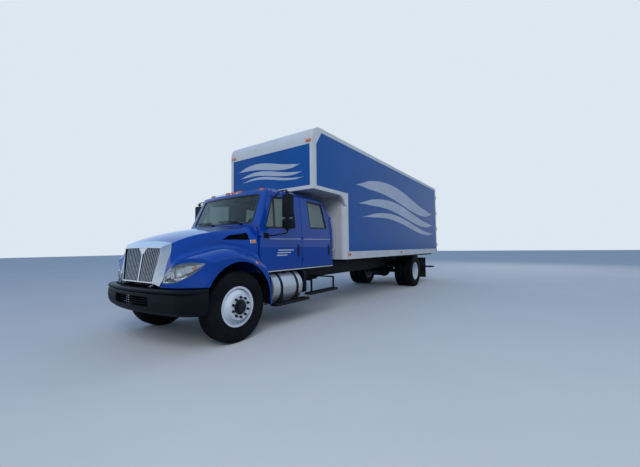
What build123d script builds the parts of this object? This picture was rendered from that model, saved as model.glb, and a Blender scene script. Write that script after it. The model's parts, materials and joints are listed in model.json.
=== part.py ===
from math import cos, radians, sin, sqrt
import os

from build123d import *

# Box truck with an over-cab attic body. Millimetres: +Y to the rear, +X to the driver's side,
# ground at z = 0.

# Overall
wheelbase = 7835.0
bumper_overhang = 1030.0
step_overhang = 10640.0
front_axle_y = -(step_overhang - bumper_overhang) / 2
rear_axle_y = front_axle_y + wheelbase

# Wheels
tyre_radius = 525.0
tyre_width = 280.0
tyre_side_radius = 425.0
tyre_tread_half = 110.0
axle_z = tyre_radius
rim_half_width = 115.0
rim_flange_radius = 298.0
rim_inner_radius = 262.0
disc_thickness = 12.0
disc_offset = 165.0
hub_bore_radius = 110.0
front_track_half = 1002.0
dual_spacing = 2 * disc_offset
spindle_radius = 40.0
running_clearance = 0.05
seat_gap = 0.3
kingpin_x = 790.0
kingpin_radius = 22.0
kingpin_boss_radius = 38.0
steering_clearance = 7.0

# Ladder frame
rail_half_width = 432.0
rail_height = 254.0
rail_flange = 76.0
rail_thickness = 8.0
rail_top = 960.0
rail_front = front_axle_y - 840.0
rail_rear = front_axle_y + 10480.0
spring_width = 76.0
spring_to_rail = 20.0
spring_x = rail_half_width + spring_to_rail + spring_width / 2
tyre_to_spring = 66.0
rear_track_outer = spring_x + spring_width / 2 + tyre_to_spring + tyre_width / 2 + dual_spacing

# Cargo body
body_half_width = 1219.0
body_floor_bottom = 1108.0
body_floor_top = 1250.0
body_top = 3816.0
bulkhead_front = front_axle_y + 2990.0
attic_front = front_axle_y + 1776.0
body_rear = front_axle_y + 10562.0
attic_bottom = 2545.0
attic_floor_thickness = 60.0
wall_thickness = 40.0
wall_recess = 4.0
rail_low_height = 178.0
rail_high_height = 90.0
attic_rail_height = 75.0
nose_side = 115.0
nose_front = 80.0
bulkhead_side = 140.0
rear_post_width = 120.0
frame_depth = 60.0
nose_radius = 240.0
roof_thickness = 45.0
header_height = 190.0

# Cargo doors
cargo_door_thickness = 45.0
cargo_door_recess = 12.0
cargo_door_gap = 6.0
cargo_hinge_out = 14.0
cargo_hinge_pin = 7.0
cargo_hinge_knuckle = 12.0
cargo_hinge_height = 110.0

# Cab, as plan sections: height, half width, front at the middle, front at the corners, rear,
# front corner radius
cab_sections = [
    (970.0, 985.0, 550.0, 560.0, 2840.0, 12.0),
    (1400.0, 990.0, 540.0, 560.0, 2840.0, 12.0),
    (1790.0, 985.0, 470.0, 560.0, 2835.0, 12.0),
    (2050.0, 960.0, 580.0, 665.0, 2790.0, 45.0),
    (2400.0, 915.0, 735.0, 815.0, 2500.0, 45.0),
    (2480.0, 780.0, 900.0, 950.0, 2380.0, 45.0),
]
cab_rear_radius = 60.0
cab_front_wall = 50.0
cab_wall = 100.0
door_thickness = 60.0
cab_roof_thickness = 45.0
roof_joint_z = 2400.0
floor_joint_z = 1040.0
door_gap = 10.0
door_sill_z = 1000.0
door_top_z = 2380.0
jamb_lap = 35.0
front_door_y = 576.0
pillar_y = 1695.0
rear_door_y = 2740.0
hinge_inset = 20.0
hinge_x = 978.0
hinge_heights = (1150.0, 1560.0)
hinge_pin_radius = 4.5
hinge_knuckle_radius = 8.0
hinge_pocket = 60.0
glass_thickness = 6.0
glass_depth = 24.0

# Hood and fenders
hood_rear = 551.0
hood_skin = 10.0
hood_pivot_y = -935.0
hood_pivot_z = 870.0
hood_pivot_x = 395.0
horn_half = 8.0
ear_gap = 2.0
hood_ear_radius = 10.0
hood_pin_radius = 6.0
fender_half_width = 1180.0


def from_axle(distance):
    """Place along the truck, counted rearwards from the front axle."""
    return front_axle_y + distance


def station(y):
    """Upright plane across the truck, its own x along +X; extrude by a minus amount to go rearwards."""
    return Plane.XZ.offset(-y)


def finish(piece, node_name):
    """Label one finished piece and write it."""
    piece.label = node_name
    export_step(piece, f"parts/{node_name}.step")


def side_prism(points, x_low, x_high, radius=0.0):
    """Solid with a side-view outline of (y, z) points between two widths."""
    with BuildPart() as prism:
        with BuildSketch(Plane.YZ.offset(x_low)):
            with BuildLine():
                if radius > 0.0:
                    FilletPolyline(*points, radius=radius, close=True)
                else:
                    Polyline(*points, close=True)
            make_face()
        extrude(amount=x_high - x_low)
    return prism.part


def cross_prism(points, y_low, y_high):
    """Solid with a front-view outline of (x, z) points between two stations."""
    with BuildPart() as prism:
        with BuildSketch(station(y_low)):
            with BuildLine():
                Polyline(*points, close=True)
            make_face()
        extrude(amount=-(y_high - y_low))
    return prism.part


def box_prism(x_low, x_high, y_low, y_high, z_low, z_high):
    """Plain block between two corners."""
    with BuildPart() as block:
        with BuildSketch(Plane.XY.offset(z_low)):
            with Locations(((x_low + x_high) / 2, (y_low + y_high) / 2)):
                Rectangle(x_high - x_low, y_high - y_low)
        extrude(amount=z_high - z_low)
    return block.part


def rod(start, end, radius):
    """Round bar between two points."""
    way = Vector(*end) - Vector(*start)
    with BuildPart() as bar:
        with BuildSketch(Plane(origin=start, z_dir=way)):
            Circle(radius)
        extrude(amount=way.length)
    return bar.part


def tube_path(points, bend, radius):
    """Round tube along straight runs joined by bends."""
    with BuildPart() as tube:
        with BuildLine() as path:
            FilletPolyline(*points, radius=bend)
        start = Plane(origin=path.line @ 0, z_dir=path.line % 0)
        with BuildSketch(start):
            Circle(radius)
        sweep()
    return tube.part


# Ladder frame: two channel rails, crossmembers, hood pivot horns and the rear step
bearing_member = 5000.0
flap_place = wheelbase + 1155.0
crossmember_places = [-825.0, 1640.0, 3400.0, bearing_member, 6500.0, flap_place - 90.0, 10430.0]
crossmember_height = 90.0
rail_bottom = rail_top - rail_height
with BuildPart() as rails:
    for side in (-1, 1):
        with BuildSketch(station(rail_front)):
            with Locations((side * (rail_half_width - rail_flange / 2), rail_top - rail_height / 2)):
                Rectangle(rail_flange, rail_height)
            with Locations((side * (rail_half_width - rail_thickness - rail_flange / 2),
                            rail_top - rail_height / 2)):
                Rectangle(rail_flange, rail_height - 2 * rail_thickness, mode=Mode.SUBTRACT)
        extrude(amount=-(rail_rear - rail_front))
    for place in crossmember_places:
        with BuildSketch(station(from_axle(place))):
            with Locations((0, rail_top - rail_thickness - crossmember_height / 2)):
                Rectangle(2 * (rail_half_width - rail_thickness), crossmember_height)
        extrude(amount=-rail_thickness)

# Rear step on two uprights, cab mounts, hood pivot horns and the mud flaps' bars
flap_outer = 1190.0
flap_top = 925.0
step_top = 560.0
step_depth = 240.0
step_half = 1060.0
step_beam = 60.0
step_rear = from_axle(step_overhang)
cab_mounts = [900.0, 2500.0]
mount_length = 120.0
step_parts = [box_prism(-step_half, step_half, step_rear - step_depth, step_rear, step_top - step_beam,
                        step_top)]
for side in (-1, 1):
    upright_x = side * (rail_half_width - rail_flange / 2)
    step_parts.append(box_prism(upright_x - 38.0, upright_x + 38.0, rail_rear - 90.0, rail_rear,
                                step_top - 30.0, rail_bottom + 20.0))
    for place in cab_mounts:
        step_parts.append(box_prism(upright_x - rail_flange / 2, upright_x + rail_flange / 2,
                                    from_axle(place),
                                    from_axle(place) + mount_length, rail_top, cab_sections[0][0]))
    pivot_x = side * hood_pivot_x
    pivot_y = from_axle(hood_pivot_y)
    horn = side_prism([(pivot_y + 22.0, rail_bottom + 80.0), (rail_front + 30.0, rail_bottom + 80.0),
                       (rail_front + 30.0, rail_top - 20.0), (rail_front + 5.0, rail_top - 20.0),
                       (rail_front - 5.0, hood_pivot_z + 4.0), (pivot_y + 12.0, hood_pivot_z + 11.0),
                       (pivot_y - 14.0, hood_pivot_z + 11.0), (pivot_y - 14.0, hood_pivot_z - 14.0),
                       (pivot_y + 22.0, hood_pivot_z - 14.0)], pivot_x - horn_half, pivot_x + horn_half)
    step_parts.append(horn)
with BuildPart() as frame_rails:
    add(rails.part)
    for piece in step_parts:
        add(piece)
    for side in (-1, 1):
        with BuildSketch(Plane.YZ.offset(side * hood_pivot_x - 20.0)):
            with Locations((from_axle(hood_pivot_y), hood_pivot_z)):
                Circle(hood_pin_radius + running_clearance)
        extrude(amount=40.0, mode=Mode.SUBTRACT)
        with BuildSketch(station(from_axle(flap_place))):
            with Locations((side * (rail_half_width + flap_outer) / 2, flap_top + 15.0)):
                Rectangle(flap_outer - rail_half_width, 30.0)
        extrude(amount=-40.0)
finish(frame_rails.part, "frame_rails")

# Front axle beam with its kingpin eyes
axle_eye_low = axle_z - 70.0
axle_eye_high = axle_z + 70.0
beam_points = [(-kingpin_x, axle_z - 45.0), (-kingpin_x, axle_z + 45.0), (-640.0, axle_z + 45.0),
               (-560.0, axle_z - 20.0), (560.0, axle_z - 20.0), (640.0, axle_z + 45.0),
               (kingpin_x, axle_z + 45.0), (kingpin_x, axle_z - 45.0), (640.0, axle_z - 55.0),
               (540.0, axle_z - 130.0), (-540.0, axle_z - 130.0), (-640.0, axle_z - 55.0)]
beam = cross_prism(beam_points, front_axle_y - 42.0, front_axle_y + 42.0)
with BuildPart() as front_axle:
    add(beam)
    for side in (-1, 1):
        with BuildSketch(Plane.XY.offset(axle_eye_low)):
            with Locations((side * kingpin_x, front_axle_y)):
                Circle(kingpin_boss_radius)
        extrude(amount=axle_eye_high - axle_eye_low)
        with BuildSketch(Plane.XY.offset(axle_eye_low)):
            with Locations((side * kingpin_x, front_axle_y)):
                Circle(kingpin_radius + running_clearance)
        extrude(amount=axle_eye_high - axle_eye_low, mode=Mode.SUBTRACT)
        with BuildSketch(Plane.XY.offset(axle_z - 30.0)):
            with Locations((side * spring_x, front_axle_y)):
                Rectangle(spring_width + 10.0, 130.0)
        extrude(amount=32.0)
finish(front_axle.part, "front_axle")

# Rear axle: tubes, a round differential bowl, spindles and spring pads
pinion_reach = 420.0
rear_tube_end = 760.0
rear_spindle_end = 860.0
rear_spindle_radius = 45.0
with BuildPart() as rear_axle:
    with BuildSketch(Plane.XY.offset(axle_z)):
        with BuildLine():
            Polyline((-rear_spindle_end, rear_axle_y), (-rear_spindle_end, rear_axle_y + rear_spindle_radius),
                     (-rear_tube_end, rear_axle_y + rear_spindle_radius),
                     (-rear_tube_end, rear_axle_y + 66.0), (-230.0, rear_axle_y + 66.0),
                     (-150.0, rear_axle_y + 170.0))
            ThreePointArc((-150.0, rear_axle_y + 170.0), (0, rear_axle_y + 225.0),
                          (150.0, rear_axle_y + 170.0))
            Polyline((150.0, rear_axle_y + 170.0), (230.0, rear_axle_y + 66.0),
                     (rear_tube_end, rear_axle_y + 66.0),
                     (rear_tube_end, rear_axle_y + rear_spindle_radius),
                     (rear_spindle_end, rear_axle_y + rear_spindle_radius), (rear_spindle_end, rear_axle_y),
                     (-rear_spindle_end, rear_axle_y))
        make_face()
    revolve(axis=Axis((0, rear_axle_y, axle_z), (1, 0, 0)))
    with BuildSketch(station(rear_axle_y - pinion_reach)):
        with Locations((0, axle_z)):
            Circle(75.0)
    extrude(amount=-300.0)
    for side in (-1, 1):
        with BuildSketch(Plane.XY.offset(axle_z)):
            with Locations((side * spring_x, rear_axle_y)):
                Rectangle(spring_width + 10.0, 150.0)
        extrude(amount=90.0)
finish(rear_axle.part, "rear_axle")

# Leaf springs: curved packs with hangers on the rails: place, half span, eye height, seat height, leaves
spring_table = [
    (0.0, 640.0, 690.0, axle_z + 2.0, 60.0),
    (wheelbase, 700.0, 790.0, axle_z + 90.0, 110.0),
]
springs = []
for place, half_span, eye_z, seat_z, pack in spring_table:
    for side in (-1, 1):
        middle = from_axle(place)
        with BuildPart() as spring:
            with BuildSketch(Plane.YZ.offset(side * spring_x - spring_width / 2)):
                with BuildLine():
                    ThreePointArc((middle - half_span, eye_z - 14.0), (middle, seat_z + pack - 14.0),
                                  (middle + half_span, eye_z - 14.0))
                    Line((middle + half_span, eye_z - 14.0), (middle + half_span, eye_z + 4.0))
                    ThreePointArc((middle + half_span, eye_z + 4.0), (middle, seat_z + pack + 4.0),
                                  (middle - half_span, eye_z + 4.0))
                    Line((middle - half_span, eye_z + 4.0), (middle - half_span, eye_z - 14.0))
                make_face()
                with BuildLine():
                    Polyline((middle - 60.0, seat_z), (middle + 60.0, seat_z),
                             (middle + 420.0, seat_z + pack),
                             (middle - 420.0, seat_z + pack), close=True)
                make_face()
            extrude(amount=spring_width)
            for way in (-1, 1):
                with BuildSketch(Plane.YZ.offset(side * spring_x - spring_width / 2)):
                    with Locations((middle + way * half_span, eye_z)):
                        Circle(28.0)
                extrude(amount=spring_width)
                hanger_in = min(side * rail_half_width, side * (spring_x + spring_width / 2))
                hanger_width = spring_x + spring_width / 2 - rail_half_width
                with BuildSketch(Plane.YZ.offset(hanger_in)):
                    with Locations((middle + way * half_span, (eye_z + rail_top - 40.0) / 2)):
                        Rectangle(90.0, rail_top - 40.0 - eye_z)
                extrude(amount=hanger_width)
        springs.append(spring.part)
with BuildPart() as leaf_springs:
    for spring_part in springs:
        add(spring_part)
finish(leaf_springs.part, "leaf_springs")

# Engine, gearbox and radiator, as plain blocks on the frame
gearbox_rear = 1480.0
with BuildPart() as engine:
    add(box_prism(-290.0, 290.0, from_axle(-420.0), from_axle(520.0), rail_bottom + 20.0, 1380.0))
    add(box_prism(-200.0, 200.0, from_axle(520.0), from_axle(gearbox_rear), rail_bottom + 30.0, 950.0))
    add(box_prism(-rail_half_width, rail_half_width, from_axle(-690.0), from_axle(-570.0), rail_top, 1340.0))
    add(box_prism(-120.0, 120.0, from_axle(-570.0), from_axle(-420.0), 1000.0, 1240.0))
finish(engine.part, "engine")

# Drive shaft from the gearbox to the differential, through a centre bearing under a crossmember
shaft_radius = 42.0
shaft_front_z = 810.0
shaft_middle_z = 780.0
shaft_middle_y = from_axle(bearing_member + rail_thickness)
joint_gap = 5.0
shaft_middle = (0, shaft_middle_y, shaft_middle_z)
front_shaft = rod((0, from_axle(gearbox_rear) + joint_gap, shaft_front_z), shaft_middle, shaft_radius)
rear_shaft = rod(shaft_middle, (0, rear_axle_y - pinion_reach - joint_gap, axle_z), shaft_radius)
with BuildPart() as drive_shaft:
    add(front_shaft)
    add(rear_shaft)
    add(rod((0, from_axle(gearbox_rear), shaft_front_z), (0, from_axle(gearbox_rear) + 30.0, shaft_front_z),
            60.0))
    add(rod((0, rear_axle_y - pinion_reach - 30.0, axle_z), (0, rear_axle_y - pinion_reach, axle_z), 60.0))
    add(box_prism(-60.0, 60.0, shaft_middle_y - 30.0, shaft_middle_y + 30.0, shaft_middle_z - 60.0,
                  rail_top - rail_thickness - crossmember_height))
finish(drive_shaft.part, "drive_shaft")

# Exhaust: muffler under the right rail with its pipe to the rear
muffler_x = -300.0
muffler_z = rail_bottom - 130.0
pipe = tube_path([(-230.0, from_axle(560.0), rail_bottom - 40.0), (-230.0, from_axle(1000.0), muffler_z),
                  (muffler_x, from_axle(1700.0), muffler_z), (muffler_x, from_axle(2300.0), muffler_z)],
                  90.0, 48.0)
muffler = rod((muffler_x, from_axle(2200.0), muffler_z), (muffler_x, from_axle(3250.0), muffler_z), 130.0)
tail_pipe = tube_path([(muffler_x, from_axle(3200.0), muffler_z), (muffler_x, from_axle(3900.0), muffler_z),
                       (-620.0, from_axle(4500.0), muffler_z + 20.0), (-1040.0, from_axle(4620.0),
                                                                       muffler_z + 20.0)],
                      120.0, 48.0)
with BuildPart() as exhaust:
    add(pipe)
    add(muffler)
    add(tail_pipe)
    for place in (2400.0, 3050.0):
        add(box_prism(-rail_half_width + rail_flange - 40.0, -rail_half_width + rail_flange + 40.0,
                      from_axle(place), from_axle(place + 40.0), muffler_z, rail_bottom))
finish(exhaust.part, "exhaust")

# Fuel tank: a round aluminium tank outside the left rail
tank_radius = 290.0
tank_x = 760.0
tank_z = 670.0
tank_front = from_axle(840.0)
tank_rear = from_axle(1640.0)
with BuildPart() as fuel_tank:
    with BuildSketch(station(tank_front)):
        with Locations((tank_x, tank_z)):
            Circle(tank_radius)
    extrude(amount=-(tank_rear - tank_front))
    fillet(fuel_tank.edges().filter_by(GeomType.CIRCLE), radius=25.0)
finish(fuel_tank.part, "fuel_tank")

# Side steps, tank straps, battery box and hanger rods
strap_thickness = 5.0
strap_width = 60.0
step_low = 430.0
step_outer = 1120.0
straps = []
for place in (1010.0, 1440.0):
    with BuildPart() as strap:
        with BuildSketch(station(from_axle(place))):
            with Locations((tank_x, tank_z)):
                Circle(tank_radius + strap_thickness)
                Circle(tank_radius, mode=Mode.SUBTRACT)
            with Locations(((rail_half_width + tank_x - tank_radius) / 2 + 10.0, tank_z + 60.0)):
                Rectangle(tank_x - tank_radius - rail_half_width + 20.0, 260.0)
            with Locations((tank_x, tank_z)):
                Circle(tank_radius, mode=Mode.SUBTRACT)
        extrude(amount=-strap_width)
    straps.append(strap.part)
# Steps: side, front, rear, height, width of tread
step_specs = [
    (1, 830.0, 1790.0, step_low, 190.0),
    (1, 1800.0, 2830.0, step_low + 70.0, 190.0),
    (-1, 830.0, 1790.0, step_low, 190.0),
    (-1, 1800.0, 2830.0, step_low + 70.0, 190.0),
]
step_thickness = 40.0
step_corner = 60.0
step_edge = 10.0
step_pieces = []
for side, front, rear, height, tread in step_specs:
    with BuildPart() as board:
        with BuildSketch(Plane.XY.offset(height - step_thickness)):
            with Locations((side * (step_outer - tread / 2), from_axle((front + rear) / 2))):
                RectangleRounded(tread, rear - front, step_corner)
        extrude(amount=step_thickness)
        fillet(board.faces().sort_by(Axis.Z)[-1].edges(), radius=step_edge)
    step_pieces.append(board.part)
for side, front, rear in ((1, 1900.0, 2700.0), (-1, 1900.0, 2700.0)):
    for place in (front, rear):
        x_rail = side * rail_half_width
        x_drop = side * (step_outer - 60.0)
        step_pieces.append(box_prism(min(x_rail, x_drop), max(x_rail, x_drop), from_axle(place),
                                     from_axle(place + 30.0), rail_bottom + 20.0, rail_bottom + 50.0))
        step_pieces.append(box_prism(min(x_drop, x_drop - side * 30.0), max(x_drop, x_drop - side * 30.0),
                                     from_axle(place), from_axle(place + 30.0), step_low + 50.0,
                                     rail_bottom + 50.0))
for place in (1010.0, 1440.0):
    step_pieces.append(box_prism(step_outer - 100.0, step_outer - 70.0, from_axle(place),
                                 from_axle(place) + strap_width, step_low - 20.0, tank_z - 60.0))
# Battery box between the right rail and the right front step
step_pieces.append(box_prism(-(step_outer - 190.0), -rail_half_width, from_axle(840.0), from_axle(1500.0),
                             step_low - step_thickness, 930.0))
with BuildPart() as side_steps:
    for strap_part in straps:
        add(strap_part)
    for step_piece in step_pieces:
        add(step_piece)
    with BuildSketch(station(tank_front)):
        with Locations((tank_x, tank_z)):
            Circle(tank_radius)
    extrude(amount=-(tank_rear - tank_front), mode=Mode.SUBTRACT)
finish(side_steps.part, "side_steps")

# Front bumper: a moulded bar that wraps round to the wheel arches, with a chin below and a ledge on top
bumper_top = 852.0
bumper_low = 505.0
bumper_half = 1200.0
bumper_groove = 800.0
bumper_bracket = 40.0
intake_width = 960.0
intake_height = 132.0
intake_z = 682.0
# Height and setback of the outer face, for the body below the groove and for the ledge above it
bumper_body_rows = [
    (bumper_low, 82.0),
    (550.0, 34.0),
    (606.0, 8.0),
    (690.0, 0.0),
    (782.0, 5.0),
    (bumper_groove, 24.0),
]
bumper_ledge_rows = [
    (bumper_groove, 24.0),
    (808.0, 4.0),
    (832.0, 2.0),
    (bumper_top, 16.0),
]


def bumper_layer(rows):
    """Loft of the bumper's plan outline, with its outer face set back by each row's amount."""
    with BuildPart() as layer:
        for height, back in rows:
            with BuildSketch(Plane.XY.offset(height)):
                with BuildLine():
                    for way in (1, -1):
                        end_x = way * (bumper_half - back * 0.5)
                        bend_x = way * (1090.0 - back * 0.7)
                        Line((way * 1130.0, from_axle(-560.0)), (end_x, from_axle(-560.0)))
                        Line((end_x, from_axle(-560.0)), (end_x, from_axle(-700.0)))
                        ThreePointArc((end_x, from_axle(-700.0)), (bend_x, from_axle(-850.0 + back * 0.7)),
                                      (way * 900.0, from_axle(-930.0 + back)))
                        Polyline((way * 1130.0, from_axle(-560.0)), (way * 1110.0, from_axle(-720.0)),
                                 (way * 880.0, from_axle(-835.0)))
                    ThreePointArc((-900.0, from_axle(-930.0 + back)), (0, from_axle(-bumper_overhang + back)),
                                  (900.0, from_axle(-930.0 + back)))
                    ThreePointArc((-880.0, from_axle(-835.0)), (0, from_axle(-940.0)),
                                  (880.0, from_axle(-835.0)))
                make_face()
        loft(ruled=True)
    return layer.part


with BuildPart() as front_bumper:
    add(bumper_layer(bumper_body_rows))
    add(bumper_layer(bumper_ledge_rows))
    with BuildSketch(station(from_axle(-bumper_overhang - 5.0))):
        with Locations((0, intake_z)):
            RectangleRounded(intake_width, intake_height, 30.0)
    extrude(amount=-300.0, mode=Mode.SUBTRACT)
    for side in (-1, 1):
        bracket_in = min(side * rail_half_width, side * (rail_half_width + bumper_bracket))
        with BuildSketch(Plane.YZ.offset(bracket_in)):
            with Locations((from_axle(-855.0), 790.0)):
                Rectangle(190.0, 110.0)
        extrude(amount=bumper_bracket)
finish(front_bumper.part, "front_bumper")

# Knuckles: a fork round the axle eye, its kingpin and the wheel spindle
fork_gap = 1.0
fork_plate_x = kingpin_x + kingpin_boss_radius + steering_clearance
spindle_end = front_track_half + disc_offset - 20.0
with BuildPart() as knuckle_left:
    for low, high in ((axle_eye_low - 40.0, axle_eye_low - fork_gap),
                      (axle_eye_high + fork_gap, axle_eye_high + 40.0)):
        with BuildSketch(Plane.XY.offset(low)):
            with Locations((kingpin_x, front_axle_y)):
                Circle(kingpin_boss_radius)
            with Locations(((kingpin_x + fork_plate_x + 10.0) / 2, front_axle_y)):
                Rectangle(fork_plate_x + 10.0 - kingpin_x, 2 * kingpin_boss_radius)
        extrude(amount=high - low)
    with BuildSketch(Plane.XY.offset(axle_eye_low - 20.0)):
        with Locations((kingpin_x, front_axle_y)):
            Circle(kingpin_radius)
    extrude(amount=axle_eye_high - axle_eye_low + 40.0)
    with BuildSketch(Plane.YZ.offset(fork_plate_x)):
        with Locations((front_axle_y, axle_z)):
            Circle(115.0)
    extrude(amount=20.0)
    with BuildSketch(Plane.YZ.offset(fork_plate_x + 20.0)):
        with Locations((front_axle_y, axle_z)):
            Circle(spindle_radius)
    extrude(amount=spindle_end - fork_plate_x - 20.0)
finish(knuckle_left.part, "knuckle_left")
finish(mirror(knuckle_left.part, about=Plane.YZ), "knuckle_right")


def rim_section(centre, out):
    """Half section of one disc wheel at a width: out is +1 where the disc lies on the outer side."""
    edge = rim_half_width
    barrel = [(-edge, rim_flange_radius), (-edge + 12.0, rim_flange_radius),
              (-edge + 12.0, rim_inner_radius + 14.0),
              (-30.0, rim_inner_radius + 6.0), (edge - 12.0, rim_inner_radius + 14.0),
              (edge - 12.0, rim_flange_radius),
              (edge, rim_flange_radius), (edge, rim_inner_radius + 4.0), (-30.0, rim_inner_radius - 4.0),
              (-edge, rim_inner_radius + 4.0)]
    disc = [(10.0, rim_inner_radius + 5.0), (60.0, rim_inner_radius + 5.0), (disc_offset, 190.0),
            (disc_offset, hub_bore_radius), (disc_offset - disc_thickness, hub_bore_radius),
            (disc_offset - disc_thickness, 182.0), (50.0, rim_inner_radius - 12.0),
            (10.0, rim_inner_radius - 6.0)]
    return [[(centre + out * along, radius) for along, radius in outline] for outline in (barrel, disc)]


def wheel_solid(y_axle, outlines):
    """Turn half sections of (x, radius) points about a wheel's axis."""
    with BuildPart() as turned:
        for outline in outlines:
            with BuildSketch(Plane(origin=(0, y_axle, axle_z), x_dir=(1, 0, 0), z_dir=(0, -1, 0))):
                with BuildLine():
                    Polyline(*outline, close=True)
                make_face()
            revolve(axis=Axis((0, y_axle, axle_z), (1, 0, 0)))
    return turned.part


def tyre_solid(y_axle, centre):
    """One tyre seated on the rim's flanges: side walls bulged to its full width and a flat tread."""
    bead_half = rim_half_width + 3.0
    half_section = [(bead_half, rim_flange_radius + seat_gap), (tyre_width / 2, tyre_side_radius),
                    (tyre_tread_half, tyre_radius)]
    outline = half_section + [(-along, radius) for along, radius in reversed(half_section)]
    return wheel_solid(y_axle, [[(centre + along, radius) for along, radius in outline]])


# Front wheels
hub_inner = fork_plate_x + 20.0 + steering_clearance
front_outlines = rim_section(front_track_half, 1)
front_face = front_track_half + disc_offset
front_back = front_face - disc_thickness
hub_radius = hub_bore_radius - 2.0
hub_flange_radius = 172.0
hub_flange = 16.0
bore = spindle_radius + running_clearance
front_outlines.append([(hub_inner, bore), (hub_inner, hub_radius), (front_back - hub_flange, hub_radius),
                       (front_back - hub_flange, hub_flange_radius), (front_back, hub_flange_radius),
                       (front_back, hub_bore_radius), (front_face, hub_bore_radius), (front_face + 8.0, 84.0),
                       (spindle_end, 80.0), (spindle_end, bore)])
with BuildPart() as front_rim_left:
    add(wheel_solid(front_axle_y, front_outlines))
finish(front_rim_left.part, "front_rim_left")
finish(mirror(front_rim_left.part, about=Plane.YZ), "front_rim_right")
with BuildPart() as front_tyre_left:
    add(tyre_solid(front_axle_y, front_track_half))
finish(front_tyre_left.part, "front_tyre_left")
finish(mirror(front_tyre_left.part, about=Plane.YZ), "front_tyre_right")

# Rear twin wheels
rear_hub_inner = rear_tube_end + 8.0
rear_inner_centre = rear_track_outer - dual_spacing
mount_face = rear_track_outer - disc_offset
rear_outlines = rim_section(rear_track_outer, -1) + rim_section(rear_inner_centre, 1)
rear_bore = rear_spindle_radius + running_clearance
rear_hub_end = mount_face + 150.0
rear_outlines.append([(rear_hub_inner, rear_bore), (rear_hub_inner, hub_radius), (mount_face, hub_radius),
                      (mount_face, hub_flange_radius), (mount_face + disc_thickness, hub_flange_radius),
                      (mount_face + disc_thickness, 100.0), (rear_hub_end, 92.0), (rear_hub_end, 0.0),
                      (rear_spindle_end + 2.0, 0.0), (rear_spindle_end + 2.0, rear_bore)])
with BuildPart() as rear_rims_left:
    add(wheel_solid(rear_axle_y, rear_outlines))
finish(rear_rims_left.part, "rear_rims_left")
finish(mirror(rear_rims_left.part, about=Plane.YZ), "rear_rims_right")
with BuildPart() as rear_tyres_left:
    add(tyre_solid(rear_axle_y, rear_track_outer))
    add(tyre_solid(rear_axle_y, rear_inner_centre))
finish(rear_tyres_left.part, "rear_tyres_left")
finish(mirror(rear_tyres_left.part, about=Plane.YZ), "rear_tyres_right")


def cab_solid(side_inset, front_inset, rear_inset):
    """The cab's outer form, pulled in by an inset at the sides, front and rear."""
    with BuildPart() as form:
        for height, half_width, front_mid, front_side, rear, radius in cab_sections:
            w = half_width - side_inset
            mid = from_axle(front_mid + front_inset)
            front = from_axle(front_side + front_inset)
            back = from_axle(rear - rear_inset)
            r = radius
            q = cab_rear_radius
            h = sqrt(0.5)
            with BuildSketch(Plane.XY.offset(height)):
                with BuildLine():
                    ThreePointArc((-(w - r), front), (0, mid), (w - r, front))
                    ThreePointArc((w - r, front), (w - r + r * h, front + r - r * h), (w, front + r))
                    Line((w, front + r), (w, back - q))
                    ThreePointArc((w, back - q), (w - q + q * h, back - q + q * h), (w - q, back))
                    Line((w - q, back), (-(w - q), back))
                    ThreePointArc((-(w - q), back), (-(w - q + q * h), back - q + q * h), (-w, back - q))
                    Line((-w, back - q), (-w, front + r))
                    ThreePointArc((-w, front + r), (-(w - r + r * h), front + r - r * h), (-(w - r), front))
                make_face()
        loft(ruled=True)
    return form.part


# Door outlines and window outlines in side view, (y, z)
front_outline = [(front_door_y, door_sill_z), (pillar_y - 6.0, door_sill_z),
                 (pillar_y - 6.0, door_top_z + 10.0),
                 (1440.0, door_top_z + 10.0), (930.0, door_top_z - 45.0), (655.0, 1810.0),
                 (front_door_y, 1740.0)]
rear_outline = [(pillar_y + 6.0, door_sill_z), (rear_door_y, door_sill_z), (rear_door_y, 1990.0),
                (2470.0, door_top_z), (pillar_y + 6.0, door_top_z + 10.0)]
front_window = [(690.0, 1735.0), (1500.0, 1760.0), (1470.0, 2345.0), (930.0, 2290.0)]
rear_window = [(1970.0, 1778.0), (2560.0, 1795.0), (2440.0, 2310.0), (1940.0, 2330.0)]
# Upright divider of the front door's vent glass, and each door's pull: front, rear, low, high
vent_divider = [(922.0, 1725.0), (944.0, 1725.0), (972.0, 2312.0), (950.0, 2312.0)]
pull_low = 1228.0
pull_high = 1452.0
pull_width = 42.0
pull_proud = 24.0
door_specs = [
    ("front", front_outline, front_window, 1585.0),
    ("rear", rear_outline, rear_window, 2640.0),
]


def placed(points):
    """Side outline counted from the front axle, moved to the truck's own frame."""
    return [(from_axle(along), height) for along, height in points]


def outline_prism(points, grow, radius, x_low, x_high):
    """Prism of a side outline grown by an amount, with rounded corners."""
    with BuildPart() as prism:
        with BuildSketch(Plane.YZ.offset(x_low)):
            with BuildLine():
                Polyline(*placed(points), close=True)
            make_face()
            if grow != 0.0:
                offset(amount=grow, kind=Kind.INTERSECTION)
            if radius > 0.0:
                fillet(vertices(), radius=radius)
        extrude(amount=x_high - x_low)
    return prism.part


cab_outer = cab_solid(0.0, 0.0, 0.0)
cab_inner = cab_solid(cab_wall, cab_front_wall, 50.0)
cab_door_back = cab_solid(door_thickness, 0.0, 0.0)
cab_rebate_back = cab_solid(door_thickness + door_gap, 0.0, 0.0)
cab_glass_face = cab_solid(glass_depth, glass_depth / 3, glass_depth / 3)
cab_glass_back = cab_solid(glass_depth + glass_thickness, glass_depth / 3 + glass_thickness,
                           glass_depth / 3 + glass_thickness)

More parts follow.
